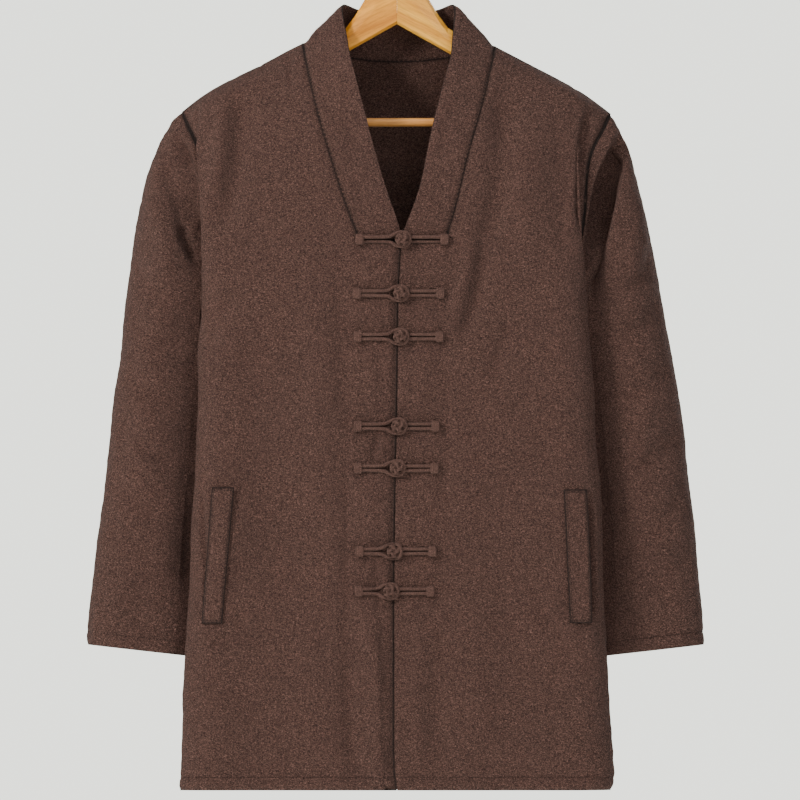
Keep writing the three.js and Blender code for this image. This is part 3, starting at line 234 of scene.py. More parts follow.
def ramp(tree, value, stops):
    node = add(tree, "ShaderNodeValToRGB")
    elements = node.color_ramp.elements
    while len(elements) < len(stops):
        elements.new(0.5)
    for element, (at, colour) in zip(elements, stops):
        element.position = at
        element.color = (*colour, 1)
    tree.links.new(value, node.inputs["Fac"])
    return node.outputs["Color"]


def mixed(tree, blend, factor, a, b):
    node = add(tree, "ShaderNodeMix", data_type="RGBA", blend_type=blend)
    colour_inputs = [s for s in node.inputs if s.type == "RGBA"]
    for socket, value in ((node.inputs["Factor"], factor), (colour_inputs[0], a), (colour_inputs[1], b)):
        if isinstance(value, (int, float)):
            socket.default_value = value
        elif isinstance(value, tuple):
            socket.default_value = (*value, 1)
        else:
            tree.links.new(value, socket)
    return next(s for s in node.outputs if s.type == "RGBA")


def calc(tree, operation, a, b=0.0):
    node = add(tree, "ShaderNodeMath", operation=operation)
    for socket, value in zip(node.inputs, (a, b)):
        if isinstance(value, (int, float)):
            socket.default_value = value
        else:
            tree.links.new(value, socket)
    return node.outputs["Value"]


def bump(tree, height, strength, distance, below=None):
    node = add(tree, "ShaderNodeBump")
    node.inputs["Strength"].default_value = strength
    node.inputs["Distance"].default_value = distance
    tree.links.new(height, node.inputs["Height"])
    if below is not None:
        tree.links.new(below, node.inputs["Normal"])
    return node.outputs["Normal"]


def cloth_material(name, dark, middle, light, cell=1.0, stretch=(1, 1, 1), relief=0.0022):
    """Crinkled crepe: small irregular cells that lean, fine threads, and a slow change of tone; the colour is
    partly the cloth's own mottling and partly painted shade in the crinkle's hollows and painted light on its
    tops.
    """
    material, tree, shader = new_material(name)
    links = tree.links
    place = add(tree, "ShaderNodeTexCoord").outputs["Object"]
    lean = add(tree, "ShaderNodeMapping")
    lean.inputs["Rotation"].default_value = (0.35, 0.6, 0.25)
    lean.inputs["Scale"].default_value = stretch
    links.new(place, lean.inputs["Vector"])
    warp = add(tree, "ShaderNodeTexNoise")
    warp.inputs["Scale"].default_value = GRAIN["warp"] * cell
    warp.inputs["Detail"].default_value = 2
    links.new(lean.outputs["Vector"], warp.inputs["Vector"])
    shift = add(tree, "ShaderNodeVectorMath", operation="MULTIPLY_ADD")
    links.new(warp.outputs["Color"], shift.inputs[0])
    shift.inputs[1].default_value = (WARP_REACH,) * 3
    links.new(lean.outputs["Vector"], shift.inputs[2])
    at = shift.outputs["Vector"]

    cells = add(tree, "ShaderNodeTexVoronoi", feature="SMOOTH_F1")
    cells.inputs["Scale"].default_value = GRAIN["cells"] * cell
    cells.inputs["Smoothness"].default_value = 0.5
    links.new(at, cells.inputs["Vector"])
    puckers = cells.outputs["Distance"]
    crinkle = noise_at(tree, at, GRAIN["crinkle"] * cell, 2, 0.6, 1.2)
    threads = noise_at(tree, place, GRAIN["threads"], 2, 0.6)
    patches = noise_at(tree, place, GRAIN["patches"], 3, 0.6)
    streaks = noise_at(tree, lean.outputs["Vector"], GRAIN["streaks"], 4, 0.6)

    # Tone follows the crinkle's height: the cloth's own mottling, with painted shade in its hollows and
    # painted light on its tops
    tone = ramp(tree, crinkle, [(0.40, dark), (0.5, middle), (0.60, light)])
    slow = ramp(tree, patches, [(0.3, (0.93, 0.92, 0.92)), (0.7, (1.06, 1.05, 1.04))])
    tone = mixed(tree, "MULTIPLY", 0.75, tone, slow)
    warm_stops = [(0.3, (1.03, 0.99, 0.98)), (0.52, (1, 1, 1)), (0.72, (0.98, 0.99, 0.98))]
    warm = ramp(tree, streaks, warm_stops)
    tone = mixed(tree, "MULTIPLY", 0.55, tone, warm)
    # Painted shade in the creases between pucker cells, and painted light at their middles
    painted_crease_shade = ramp(tree, puckers, [(0.15, (1.22, 1.22, 1.22)), (0.6, (0.56, 0.54, 0.54))])
    tone = mixed(tree, "MULTIPLY", 0.8, tone, painted_crease_shade)
    flecks = ramp(tree, threads, [(0.66, (0, 0, 0)), (0.78, (1, 1, 1))])
    fleck_share = calc(tree, "MULTIPLY", flecks, 0.25)
    tone = mixed(tree, "MIX", fleck_share, tone, tuple(min(1, c * 1.7) for c in light))
    # Painted shade: the seam attribute darkens the colour nearly to black along seams, welt edges, rims, the
    # front opening and where a frog's cord meets the cloth
    seam = add(tree, "ShaderNodeAttribute", attribute_name="seam").outputs["Fac"]
    painted_shade_share = calc(tree, "MULTIPLY", seam, 0.95)
    tone = mixed(tree, "MIX", painted_shade_share, tone, tuple(c * 0.07 for c in middle))
    links.new(tone, shader.inputs["Base Color"])

    height = calc(tree, "SUBTRACT", crinkle, calc(tree, "MULTIPLY", puckers, 0.6))
    coarse = bump(tree, height, 1.0, relief)
    fine = bump(tree, threads, 0.3, 0.0004, coarse)
    links.new(fine, shader.inputs["Normal"])
    rough = ramp(tree, threads, [(0.3, (0.8, 0.8, 0.8)), (0.7, (0.95, 0.95, 0.95))])
    links.new(rough, shader.inputs["Roughness"])
    shader.inputs["Specular IOR Level"].default_value = 0.18
    shader.inputs["Sheen Weight"].default_value = 0.05
    shader.inputs["Sheen Roughness"].default_value = 0.5
    shader.inputs["Sheen Tint"].default_value = (0.9, 0.72, 0.62, 1)
    return material


def wood_material(name, dark, light, lean):
    """Pale wood with a soft lacquer, and long grain that leans from X."""
    material, tree, shader = new_material(name)
    links = tree.links
    place = add(tree, "ShaderNodeTexCoord").outputs["Object"]
    turned = add(tree, "ShaderNodeMapping", vector_type="TEXTURE")
    turned.inputs["Rotation"].default_value = (0, lean, 0)
    turned.inputs["Scale"].default_value = (0.45, 0.033, 0.033)
    links.new(place, turned.inputs["Vector"])
    along = turned.outputs["Vector"]
    rings = noise_at(tree, along, 1.4, 5, 0.6, 0.5)
    fibres = noise_at(tree, along, 14, 3, 0.7)
    pores = noise_at(tree, along, 38, 2, 0.6)
    middle = tuple((a + b) / 2 for a, b in zip(dark, light))
    tone = ramp(tree, rings, [(0.3, dark), (0.55, middle), (0.75, light)])
    fibre = ramp(tree, fibres, [(0.35, (0.78, 0.72, 0.62)), (0.58, (1.05, 1.04, 1.02))])
    tone = mixed(tree, "MULTIPLY", 0.9, tone, fibre)
    pore = ramp(tree, pores, [(0.3, (0.7, 0.6, 0.5)), (0.42, (1, 1, 1))])
    tone = mixed(tree, "MULTIPLY", 0.5, tone, pore)
    links.new(tone, shader.inputs["Base Color"])
    rough = ramp(tree, fibres, [(0.3, (0.36, 0.36, 0.36)), (0.7, (0.5, 0.5, 0.5))])
    links.new(rough, shader.inputs["Roughness"])
    links.new(bump(tree, fibres, 0.2, 0.0004), shader.inputs["Normal"])
    shader.inputs["Specular IOR Level"].default_value = 0.3
    shader.inputs["Coat Weight"].default_value = 0.12
    shader.inputs["Coat Roughness"].default_value = 0.4
    return material


def steel_material(name):
    """Polished wire with fine scratches."""
    material, tree, shader = new_material(name)
    links = tree.links
    place = add(tree, "ShaderNodeTexCoord").outputs["Object"]
    scratches = noise_at(tree, place, 900, 2, 0.6)
    stains = noise_at(tree, place, 90, 3, 0.6)
    tone = ramp(tree, stains, [(0.3, (0.5, 0.5, 0.51)), (0.7, (0.7, 0.7, 0.71))])
    links.new(tone, shader.inputs["Base Color"])
    rough = ramp(tree, scratches, [(0.3, (0.18,) * 3), (0.7, (0.34,) * 3)])
    links.new(rough, shader.inputs["Roughness"])
    links.new(bump(tree, scratches, 0.12, 0.0002), shader.inputs["Normal"])
    shader.inputs["Metallic"].default_value = 1
    return material


def plain_material(name, colour, glow):
    """A matt, even surface that glows a little."""
    material, tree, shader = new_material(name)
    place = add(tree, "ShaderNodeTexCoord").outputs["Object"]
    grain = noise_at(tree, place, 3, 2)
    lighter = tuple(min(1, c * 1.01) for c in colour)
    tree.links.new(ramp(tree, grain, [(0.3, colour), (0.7, lighter)]), shader.inputs["Base Color"])
    shader.inputs["Roughness"].default_value = 0.95
    shader.inputs["Specular IOR Level"].default_value = 0.05
    shader.inputs["Emission Color"].default_value = (*colour, 1)
    shader.inputs["Emission Strength"].default_value = glow
    return material


CLOTH = cloth_material(
    "crinkled_cotton",
    (0.046, 0.019, 0.014),
    (0.118, 0.056, 0.043),
    (0.245, 0.128, 0.099),
    stretch=(0.75, 1, 1.2),
    relief=0.0052,
)
CORD = cloth_material(
    "rolled_cord", (0.06, 0.029, 0.023), (0.105, 0.053, 0.041), (0.165, 0.09, 0.07), cell=1.4, relief=0.0011
)
THREAD = cloth_material(
    "sewing_thread", (0.03, 0.014, 0.011), (0.055, 0.027, 0.021), (0.08, 0.042, 0.034), cell=2.5
)
WOOD_RIGHT = wood_material("pale_wood_right", (0.44, 0.145, 0.009), (0.90, 0.415, 0.042), -0.45)
WOOD_LEFT = wood_material("pale_wood_left", (0.54, 0.205, 0.016), (0.95, 0.52, 0.065), 0.45)
WOOD_BAR = wood_material("pale_wood_bar", (0.40, 0.145, 0.025), (0.80, 0.39, 0.10), 0.0)
STEEL = steel_material("polished_wire")


# The cloth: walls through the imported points, with folds, seams and rounded edges
def mesh_object(name, points, faces, material, smooth=True):
    mesh = bpy.data.meshes.new(name)
    mesh.from_pydata([tuple(p) for p in points], [], [tuple(int(i) for i in f) for f in faces])
    mesh.validate()
    if smooth:
        mesh.shade_smooth()
    else:
        mesh.shade_flat()
    mesh.materials.append(material)
    obj = bpy.data.objects.new(name, mesh)
    bpy.context.scene.collection.objects.link(obj)
    return obj


def wall_sides(node, thickness, inside):
    """The outer side of a wall of cloth, in four-sided faces, and the inner point behind each point."""
    work = bmesh.new()
    work.from_mesh(nodes[node].data)
    bmesh.ops.remove_doubles(work, verts=work.verts, dist=1e-5)
    work.verts.ensure_lookup_table()
    tree = KDTree(len(work.verts))
    for v in work.verts:
        tree.insert(v.co, v.index)
    tree.balance()
    behind = [
        {i for _, i, d in tree.find_range(v.co, thickness + MATCH) if abs(d - thickness) < MATCH}
        for v in work.verts
    ]
    rim = [f for f in work.faces if any(b.index in behind[a.index] for a in f.verts for b in f.verts)]
    bmesh.ops.delete(work, geom=rim, context="FACES")
    loose = [e for e in work.edges if not e.link_faces]
    bmesh.ops.delete(work, geom=loose, context="EDGES_FACES")
    work.verts.ensure_lookup_table()
    side_of = {}
    sides = []
    for start in work.faces:
        if start in side_of:
            continue
        found, queue = [], [start]
        side_of[start] = len(sides)
        while queue:
            face = queue.pop()
            found.append(face)
            for edge in face.edges:
                for other in edge.link_faces:
                    if other not in side_of:
                        side_of[other] = len(sides)
                        queue.append(other)
        sides.append(found)
    sides.sort(key=len, reverse=True)

    def outwardness(side):
        middles = [(f, f.calc_center_median()) for f in side]
        return sum((m - inside(m)).dot(f.normal) * f.calc_area() for f, m in middles)

    outer = max(sides[:2], key=outwardness)
    keep = {v.index for f in outer for v in f.verts}
    partner = {}
    for i in keep:
        others = [j for j in behind[i] if j not in keep]
        v = work.verts[i]
        partner[i] = work.verts[others[0]].co.copy() if others else v.co - v.normal * thickness
    was = work.verts.layers.int.new("was")
    for v in work.verts:
        v[was] = v.index
    bmesh.ops.delete(work, geom=[v for v in work.verts if v.index not in keep], context="VERTS")
    work.faces.ensure_lookup_table()
    bmesh.ops.join_triangles(
        work,
        faces=work.faces,
        angle_face_threshold=math.radians(80),
        angle_shape_threshold=math.radians(100),
    )
    inner = [partner[v[was]] for v in work.verts]
    return work, inner


def edge_corners(work):
    """Places where the edge of an open mesh turns sharply."""
    found = []
    for v in work.verts:
        rims = [e for e in v.link_edges if e.is_boundary]
        if len(rims) != 2:
            continue
        a, b = (e.other_vert(v).co - v.co for e in rims)
        if a.length and b.length and math.pi - a.angle(b) > CORNER_TURN and v.co.z < COLLAR_TOP:
            found.append(v.co.copy())
    return found


def smoothed(obj, modifier, levels):
    """Points and faces of an object, smoothed at so many levels."""
    modifier.levels = modifier.render_levels = levels
    obj.update_tag()
    made = obj.evaluated_get(bpy.context.evaluated_depsgraph_get()).to_mesh()
    points = np.zeros(len(made.vertices) * 3)
    made.vertices.foreach_get("co", points)
    faces = np.zeros(len(made.loops), int)
    made.loops.foreach_get("vertex_index", faces)
    return points.reshape(-1, 3), faces.reshape(-1, 4)


def subdivided(work, coordinates, corners, levels, name):
    """Smooth points and faces that pass through the mesh's own points, with its corners kept."""
    crease = work.verts.layers.float.get("crease_vert") or work.verts.layers.float.new("crease_vert")
    for v in work.verts:
        near = corners.find(v.co)[2]
        v[crease] = 1.0 if v.is_boundary and near is not None and near < 1.5 * MM else 0.0
    mesh = bpy.data.meshes.new(name)
    work.to_mesh(mesh)
    wanted = np.array([v.co for v in work.verts] if coordinates is None else coordinates, float)
    control = wanted.copy()
    obj = bpy.data.objects.new(name, mesh)
    bpy.context.scene.collection.objects.link(obj)
    modifier = obj.modifiers.new("smooth", "SUBSURF")
    modifier.boundary_smooth = "PRESERVE_CORNERS"
    for _ in range(THROUGH_ROUNDS):
        mesh.vertices.foreach_set("co", control.ravel())
        mesh.update()
        control += wanted - smoothed(obj, modifier, 1)[0][: len(wanted)]
    mesh.vertices.foreach_set("co", control.ravel())
    mesh.update()
    points, faces = smoothed(obj, modifier, levels)
    bpy.data.objects.remove(obj)
    return points, faces


def face_normals(points, faces):
    a, b, c, d = (points[faces[:, i]] for i in range(4))
    return np.cross(c - a, d - b)


def point_normals(points, faces):
    normals = np.zeros_like(points)
    by_face = face_normals(points, faces)
    for i in range(4):
        np.add.at(normals, faces[:, i], by_face)
    return normals / np.maximum(np.linalg.norm(normals, axis=1), 1e-12)[:, None]


def open_edges(faces):
    """Edges that only one face has, in that face's direction."""
    edges = np.concatenate([faces[:, [i, (i + 1) % 4]] for i in range(4)])
    keys = np.sort(edges, axis=1)
    _, first, count = np.unique(keys, axis=0, return_index=True, return_counts=True)
    return edges[first[count == 1]]


def nearest(points, others):
    """For each point, how far the nearest of the others is, and where."""
    tree = KDTree(len(others))
    for i, p in enumerate(others):
        tree.insert(p, i)
    tree.balance()
    found = [tree.find(p) for p in points]
    return np.array([f[2] for f in found]), np.array([f[0] for f in found])


def falloff(distance, reach):
    """1 at no distance, 0.37 at the reach, and close to 0 beyond it."""
    return np.exp(-((distance / reach) ** 2))


def fold_height(points, folds):
    """Rise of the soft folds at each point, by its place as seen from the front."""
    height = np.zeros(len(points))
    seen = points[:, [0, 2]] / MM
    for x0, z0, x1, z1, bow, width, rise in folds:
        start = np.array([x0, z0], float)
        along = np.array([x1, z1], float) - start
        length = np.linalg.norm(along)
        along /= length
        across = np.array([-along[1], along[0]])
        share = (seen - start) @ along / length
        off_line = (seen - start) @ across - bow * 4 * share * (1 - share)
        ends = np.clip(share + FOLD_OVERRUN, 0, 1) * np.clip(1 + FOLD_OVERRUN - share, 0, 1)
        fade = np.clip(ends * 4, 0, 1) ** 2
        height += FOLD_DEPTH * rise * MM * fade * falloff(off_line, width)
    return height


def ripples(points, size, offset):
    """Smooth noise at each point, between about -1 and 1."""
    return np.array([noise.noise(Vector(p) / size + offset) for p in points])


def edge_ways(points, normals, rim):
    """At each point of an edge, the direction in the cloth's plane that leaves the piece."""
    away = np.zeros_like(points)
    along = points[rim[:, 1]] - points[rim[:, 0]]
    for i in (0, 1):
        np.add.at(away, rim[:, i], np.cross(along, normals[rim[:, i]]))
    return away / np.maximum(np.linalg.norm(away, axis=1), 1e-12)[:, None]


def is_low_edge(node, z):
    """Whether an edge at this height is the hem or a cuff."""
    return z < (CUFF_TOP if "sleeve" in node else HEM_TOP)


def relief(node, points, normals, edge, from_edge, edge_place):
    """How far folds, crinkles, puckers and stitch lines move each point out of the cloth."""
    small = "welt" in node or "band" in node
    offset = Vector((3.7 * len(node), 1.3, 0.4))
    free = np.clip(from_edge / FOLD_FREE, 0, 1) ** 1.5
    ahead = np.clip(-normals[:, 1] * FACING["gain"] - FACING["start"], 0, 1)
    behind = np.clip(normals[:, 1] * FACING["gain"] - FACING["start"], 0, 1)
    rise = fold_height(points, FOLDS.get(node, [])) * (behind if node == "back" else ahead)
    rise += fold_height(points, BEHIND.get(node, [])) * behind
    rise += SWELL["height"] * ripples(points, SWELL["size"], offset)
    rise *= free
    fine = CRINKLE["height"] * ripples(points, CRINKLE["size"], offset)
    fine += 0.5 * CRINKLE["height"] * ripples(points, CRINKLE["size"] * 0.55, offset)
    rise += fine * np.clip(free * 2, 0.2, 1)
    waves = ripples(edge_place, PUCKER["size"], offset)
    near = falloff(from_edge, PUCKER["reach"]) * (1 - falloff(from_edge, PUCKER["clear"]))
    rise += PUCKER["height"] * (PUCKER["small"] if small else 1) * waves * near
    low = edge[is_low_edge(node, points[edge][:, 2])]
    if len(low) and not small:
        from_low, low_place = nearest(points, points[low])
        off_line = from_low - HEM_STITCH["inset"]
        rise -= HEM_STITCH["groove"] * falloff(off_line, HEM_STITCH["half"])
        waves = ripples(low_place, PUCKER["size"] * 0.8, offset)
        rise += HEM_STITCH["pucker"] * waves * falloff(off_line, HEM_STITCH["spread"])
    return rise


def at_edges(node, normals, from_edge, edge_place, sewn):
    """How deep a seam or a free edge draws each point in, and how dark the painted shade makes the cloth
    there.
    """
    if "welt" in node:
        depth = WELT_DITCH["depth"] * falloff(from_edge, WELT_DITCH["reach"])
        # Painted shade along the welt's whole edge
        return depth, WELT_DITCH["shade"] * falloff(from_edge, SEAM_SHADE)
    free = np.clip(nearest(edge_place, sewn)[0] / SEAM_FOUND - 1, 0, 1)
    level = np.clip((SEAM_LEVEL["full"] - normals[:, 2]) * SEAM_LEVEL["gain"], SEAM_LEVEL["least"], 1)
    at_seam = SEAM_DITCH["depth"] * falloff(from_edge, SEAM_DITCH["reach"])
    at_seam = (at_seam + SEAM_SWELL["depth"] * falloff(from_edge, SEAM_SWELL["reach"])) * level
    at_free = FREE_DITCH["depth"] * falloff(from_edge, FREE_DITCH["reach"])
    depth = at_seam * (1 - free) + at_free * free
    # Sewn edges get painted shade, free edges none
    dark = 1 - free
    # Painted shadow along the front opening, darkest on the right front's edge
    if node in OPENING_SHADE:
        at_opening = free * (np.abs(edge_place[:, 0]) < OPENING_DITCH["half"])
        depth += OPENING_DITCH[node] * at_opening * falloff(from_edge, OPENING_DITCH["reach"])
        dark += OPENING_SHADE[node] * at_opening
    return depth, dark * falloff(from_edge, SEAM_SHADE)


def soft_table(x, table, values):
    """Values of a table at x, with its corners rounded."""
    steps = (-10, -5, 0, 5, 10)
    return sum(np.interp(x + step, table, values) for step in steps) / len(steps)


def eased(share):
    """A share held between 0 and 1, with soft ends."""
    share = np.clip(share, 0, 1)
    return share * share * (3 - 2 * share)


def padded_out(points):
    """Points of a piece, lifted at the shoulders and moved out at the sleeves."""
    x, z = points[:, 0] / MM, points[:, 2] / MM
    high = eased((z - SHOULDER_LIFT["from"]) / (SHOULDER_LIFT["full"] - SHOULDER_LIFT["from"]))
    out = eased((np.abs(x) - SLEEVE_WIDENING["from"]) / SLEEVE_WIDENING["reach"])
    moved = points.copy()
    moved[:, 2] += MM * high * soft_table(x, SHOULDER_LIFT["x"], SHOULDER_LIFT["rise"])
    moved[:, 0] += MM * out * np.where(x > 0, SLEEVE_WIDENING["left"], -SLEEVE_WIDENING["right"])
    return moved


def dressed(node, shape, sewn):
    """Both sides of a wall of cloth, moved by its folds and seams, and how dark each point's painted shade
    is.
    """
    points, normals, edge = shape["outer"], shape["normals"], np.unique(shape["rim"])
    from_edge, edge_place = nearest(points, points[edge])
    rise = relief(node, points, normals, edge, from_edge, edge_place)
    depth, shade = at_edges(node, normals, from_edge, edge_place, sewn)
    outer = points + normals * (rise - depth)[:, None]
    at_rim = np.where(from_edge < RIM_NEAR, depth * RIM_FOLLOWS, 0)
    inner = shape["inner"] + normals * (rise + at_rim)[:, None]
    return padded_out(outer), padded_out(inner), shade


def shell(outer, inner, shape):
    """A closed wall with rounded edges from its two sides."""
    faces, rim = shape["faces"], shape["rim"]
    count = len(outer)
    edge = np.unique(rim)
    place = np.zeros(count, int)
    place[edge] = np.arange(len(edge))
    away = edge_ways(outer, shape["normals"], rim)[edge]
    rows = [np.arange(count)[edge]]
    points = [outer, inner]
    total = 2 * count
    for share, out in zip(RIM_ROUND["share"], RIM_ROUND["out"]):
        points.append(outer[edge] * (1 - share) + inner[edge] * share + away * RIM_OUT * out)
        rows.append(total + np.arange(len(edge)))
        total += len(edge)
    rows.append(edge + count)
    rims = []
    for above, below in zip(rows, rows[1:]):
        a, b = place[rim[:, 0]], place[rim[:, 1]]
        rims.append(np.column_stack([above[b], above[a], below[a], below[b]]))
    return np.vstack(points), np.vstack([faces, faces[:, ::-1] + count, *rims])


def spine(x, y):
    """Points on an upright line inside the coat."""
    return lambda p: Vector((x, y, p.z))


def sleeve_spine(sign):
    """Points on a line down the middle of a sleeve, which leans out below the armhole."""
    return lambda p: Vector((sign * (0.21 + 0.1 * min(1, max(0, (-0.3 - p.z) / 0.5))), 0.012, p.z))


ARMS = ["hanger_arm_right", "hanger_arm_left"]
# Each piece of cloth: what it lies on, a line inside it, its flat size and area, and how finely it is divided
PIECES = {
    "front_right": dict(on=ARMS[:1], inside=spine(-0.10, -0.02), flat=(0.31, 0.84), area=0.207, levels=3),
    "front_left": dict(on=ARMS[1:], inside=spine(0.10, -0.02), flat=(0.31, 0.84), area=0.205, levels=3),
    "back": dict(on=ARMS, inside=spine(0, 0), flat=(0.50, 0.82), area=0.348, levels=3),
    "sleeve_right": dict(on=ARMS[:1], inside=sleeve_spine(-1), flat=(0.34, 0.60), area=0.162, levels=3),
    "sleeve_left": dict(on=ARMS[1:], inside=sleeve_spine(1), flat=(0.34, 0.60), area=0.158, levels=3),
    "collar_band": dict(on=ARMS, inside=spine(0, 0.01), flat=(0.058, 0.70), area=0.036, levels=4),
    "pocket_welt_right": dict(
        on=["front_right"], inside=spine(-0.2, 0), flat=(0.024, 0.153), area=0.00365, levels=3
    ),
    "pocket_welt_left": dict(
        on=["front_left"], inside=spine(0.2, 0), flat=(0.024, 0.151), area=0.0036, levels=3
    ),
}
sides = {}
for name, facts in PIECES.items():
    thickness = WALL["welt" if "welt" in name else "coat"]
    sides[name] = wall_sides(name, thickness, facts["inside"])
found_corners = [p for work, _ in sides.values() for p in edge_corners(work)]
corner_tree = KDTree(len(found_corners))
for index, place in enumerate(found_corners):
    corner_tree.insert(place, index)
corner_tree.balance()
shapes = {}
for name, (work, inner_side) in sides.items():
    levels = PIECES[name]["levels"]
    outer_points, quads = subdivided(work, None, corner_tree, levels, name + "_outer")
    inner_points, _ = subdivided(work, inner_side, corner_tree, levels, name + "_inner")
    shapes[name] = {
        "outer": outer_points,
        "inner": inner_points,
        "faces": quads,
        "normals": point_normals(outer_points, quads),
        "rim": open_edges(quads),
    }
surfaces = {}
edges = {name: shape["outer"][np.unique(shape["rim"])] for name, shape in shapes.items()}
for name, shape in shapes.items():
    others = np.vstack([points for other, points in edges.items() if other != name])
    sewn = edges[name][nearest(edges[name], others)[0] < SEAM_FOUND]
    outer_points, inner_points, seam = dressed(name, shape, sewn if len(sewn) else edges[name])
    piece = mesh_object("coat_" + name, *shell(outer_points, inner_points, shape), CLOTH)
    # Painted shade by seams and edges; the rounded rims between the two sides are painted fully dark
    shade = piece.data.attributes.new("seam", "FLOAT", "POINT")
    values = np.ones(len(piece.data.vertices), np.float32)
    values[: len(outer_points)] = seam
    values[len(outer_points) : 2 * len(outer_points)] = seam
    shade.data.foreach_set("value", values)
    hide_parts(name)
    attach(piece, "root")
    facts = PIECES[name]
    shape["dressed"] = outer_points
    corners = [tuple(int(i) for i in f) for f in shape["faces"]]
    surfaces[name] = BVHTree.FromPolygons([tuple(p) for p in outer_points], corners)


# The frogs: loops, knots and bound ends of rolled cord
def on_front(x, z, lift):
    """A point at a height over the front panels' outer face, in metres."""
    origin = Vector((x * MM, -0.2, z * MM))
    hits = [surfaces[n].ray_cast(origin, Vector((0, 1, 0)))[0] for n in ("front_right", "front_left")]
    depths = [h.y for h in hits if h is not None]
    y = min(depths) if depths else FRONT_Y
    return Vector((x * MM, y - lift * MM, z * MM))


def smooth_path(points, steps):
    """Points at even steps on a smooth curve through the given ones."""
    pts = [points[0] * 2 - points[1], *points, points[-1] * 2 - points[-2]]
    dense = []
    for i in range(1, len(pts) - 2):
        for k in range(12):
            t = k / 12
            a, b, c, d = pts[i - 1 : i + 3]
            bend, twist = 2 * a - 5 * b + 4 * c - d, 3 * b - a - 3 * c + d
            dense.append(0.5 * (2 * b + (c - a) * t + bend * t * t + twist * t**3))
    dense.append(points[-1])
    lengths = [0]
    for a, b in zip(dense, dense[1:]):
        lengths.append(lengths[-1] + (b - a).length)
    found = []
    for k in range(steps + 1):
        want = lengths[-1] * k / steps
        i = min(max(int(np.searchsorted(lengths, want)), 1), len(dense) - 1)
        span = max(lengths[i] - lengths[i - 1], 1e-9)
        found.append(dense[i - 1].lerp(dense[i], (want - lengths[i - 1]) / span))
    return found


def tube(path, radius, round_steps, closed=False, ridge=0.05, twist=0.0):
    """Points and faces of a cord along a path, with the low ridge of its rolled edge."""
    count = len(path)
    points, faces = [], []
    normal = None
    for i, p in enumerate(path):
        before = path[(i - 1) % count] if closed or i else path[0]
        after = path[(i + 1) % count] if closed or i + 1 < count else path[-1]
        along = (after - before).normalized()
        if normal is None:
            normal = along.orthogonal().normalized()
        normal = (normal - along * normal.dot(along)).normalized()
        across = along.cross(normal)
        for k in range(round_steps):
            angle = 2 * math.pi * k / round_steps
            seam = 1 - ridge * math.exp(-((math.sin((angle - twist * i) / 2) / 0.3) ** 2))
            spot = normal * (math.cos(angle) * radius * seam) + across * (math.sin(angle) * radius * seam)
            points.append(p + spot)
    rings = count if closed else count - 1
    for i in range(rings):
        for k in range(round_steps):
            here, there = i * round_steps, (i + 1) % count * round_steps
            m = (k + 1) % round_steps
            faces.append((here + k, here + m, there + m, there + k))
    if not closed:
        faces.append(tuple(range(round_steps))[::-1])
        faces.append(tuple((count - 1) * round_steps + k for k in range(round_steps)))
    return points, faces


def closed_weave(centre, turn):
    """The one strand of a ball button, which goes round it over and under itself."""
    path = []
    steps = 168
    for i in range(steps):
        t = 2 * math.pi * i / steps
        around = KNOT["turns"] * t + turn
        height = KNOT["tilt"] * math.sin(KNOT["waves"] * t)
        out = KNOT["across"] + KNOT["weave"] * math.cos(2 * KNOT["waves"] * t + 0.8)
        level = math.cos(height) * out
        spot = Vector((level * math.cos(around), -math.sin(height) * out, level * math.sin(around)))
        path.append(centre + spot * MM)
    return path


def wrapped_end(x, z, seed):
    """The end of a frog, where its cords are bound round with the same cord."""
    rows, columns = 22, 26
    centre = on_front(x, z, 0)
    points, faces = [], []
    for r in range(rows + 1):
        share = r / rows * 2 - 1
        wrap = 1 + BINDING["wrap_depth"] * math.cos(math.pi * (share + 1) * BINDING["wraps"] + seed)
        round_off = (1 - abs(share) ** 5) ** 0.5
        for c in range(columns):
            angle = 2 * math.pi * c / columns
            cos, sin = math.cos(angle), math.sin(angle)
            high = math.copysign(abs(sin) ** 0.62, sin) * BINDING["height"] / 2
            deep = math.copysign(abs(cos) ** 0.72, cos) * BINDING["thickness"] / 2
            dent = 1 - BINDING_DENT["depth"] * falloff(high, BINDING_DENT["half"]) * max(0, cos)
            swell = (0.55 + 0.45 * round_off) * wrap
            out = deep * dent * swell + BINDING["thickness"] * BINDING["sink"]
            points.append(centre + Vector((share * BINDING["length"] / 2, -out, high * swell)) * MM)
    for r in range(rows):
        for c in range(columns):
            nxt = (c + 1) % columns
            faces.append((r * columns + c, r * columns + nxt, (r + 1) * columns + nxt, (r + 1) * columns + c))
    faces.append(tuple(range(columns))[::-1])
    faces.append(tuple(rows * columns + c for c in range(columns)))
    return points, faces


def joined(parts):
    points, faces = [], []
    for p, f in parts:
        start = len(points)
        points += p
        faces += [tuple(i + start for i in face) for face in f]
    return points, faces


def outward(obj):
    """Turns all faces of a closed piece outward."""
    work = bmesh.new()
    work.from_mesh(obj.data)
    bmesh.ops.recalc_face_normals(work, faces=work.faces)
    work.to_mesh(obj.data)
    work.free()


def paint_flank_shade(obj):
    """Darkens what lies close to the cloth with painted shade, where a contact shadow would fall."""
    values = []
    for v in obj.data.vertices:
        gap = (on_front(v.co.x / MM, v.co.z / MM, 0).y - v.co.y) / MM
        near = (FLANK_SHADE["none"] - gap) / (FLANK_SHADE["none"] - FLANK_SHADE["full"])
        values.append(FLANK_SHADE["most"] * min(1, max(0, near)))
    obj.data.attributes.new("seam", "FLOAT", "POINT").data.foreach_set("value", values)


def dress(name, parts, node):
    """Makes a frog's loop or knot from its parts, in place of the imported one."""
    obj = mesh_object(name, *joined(parts), CORD)
    outward(obj)
    paint_flank_shade(obj)
    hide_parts(node)
    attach(obj, "root")


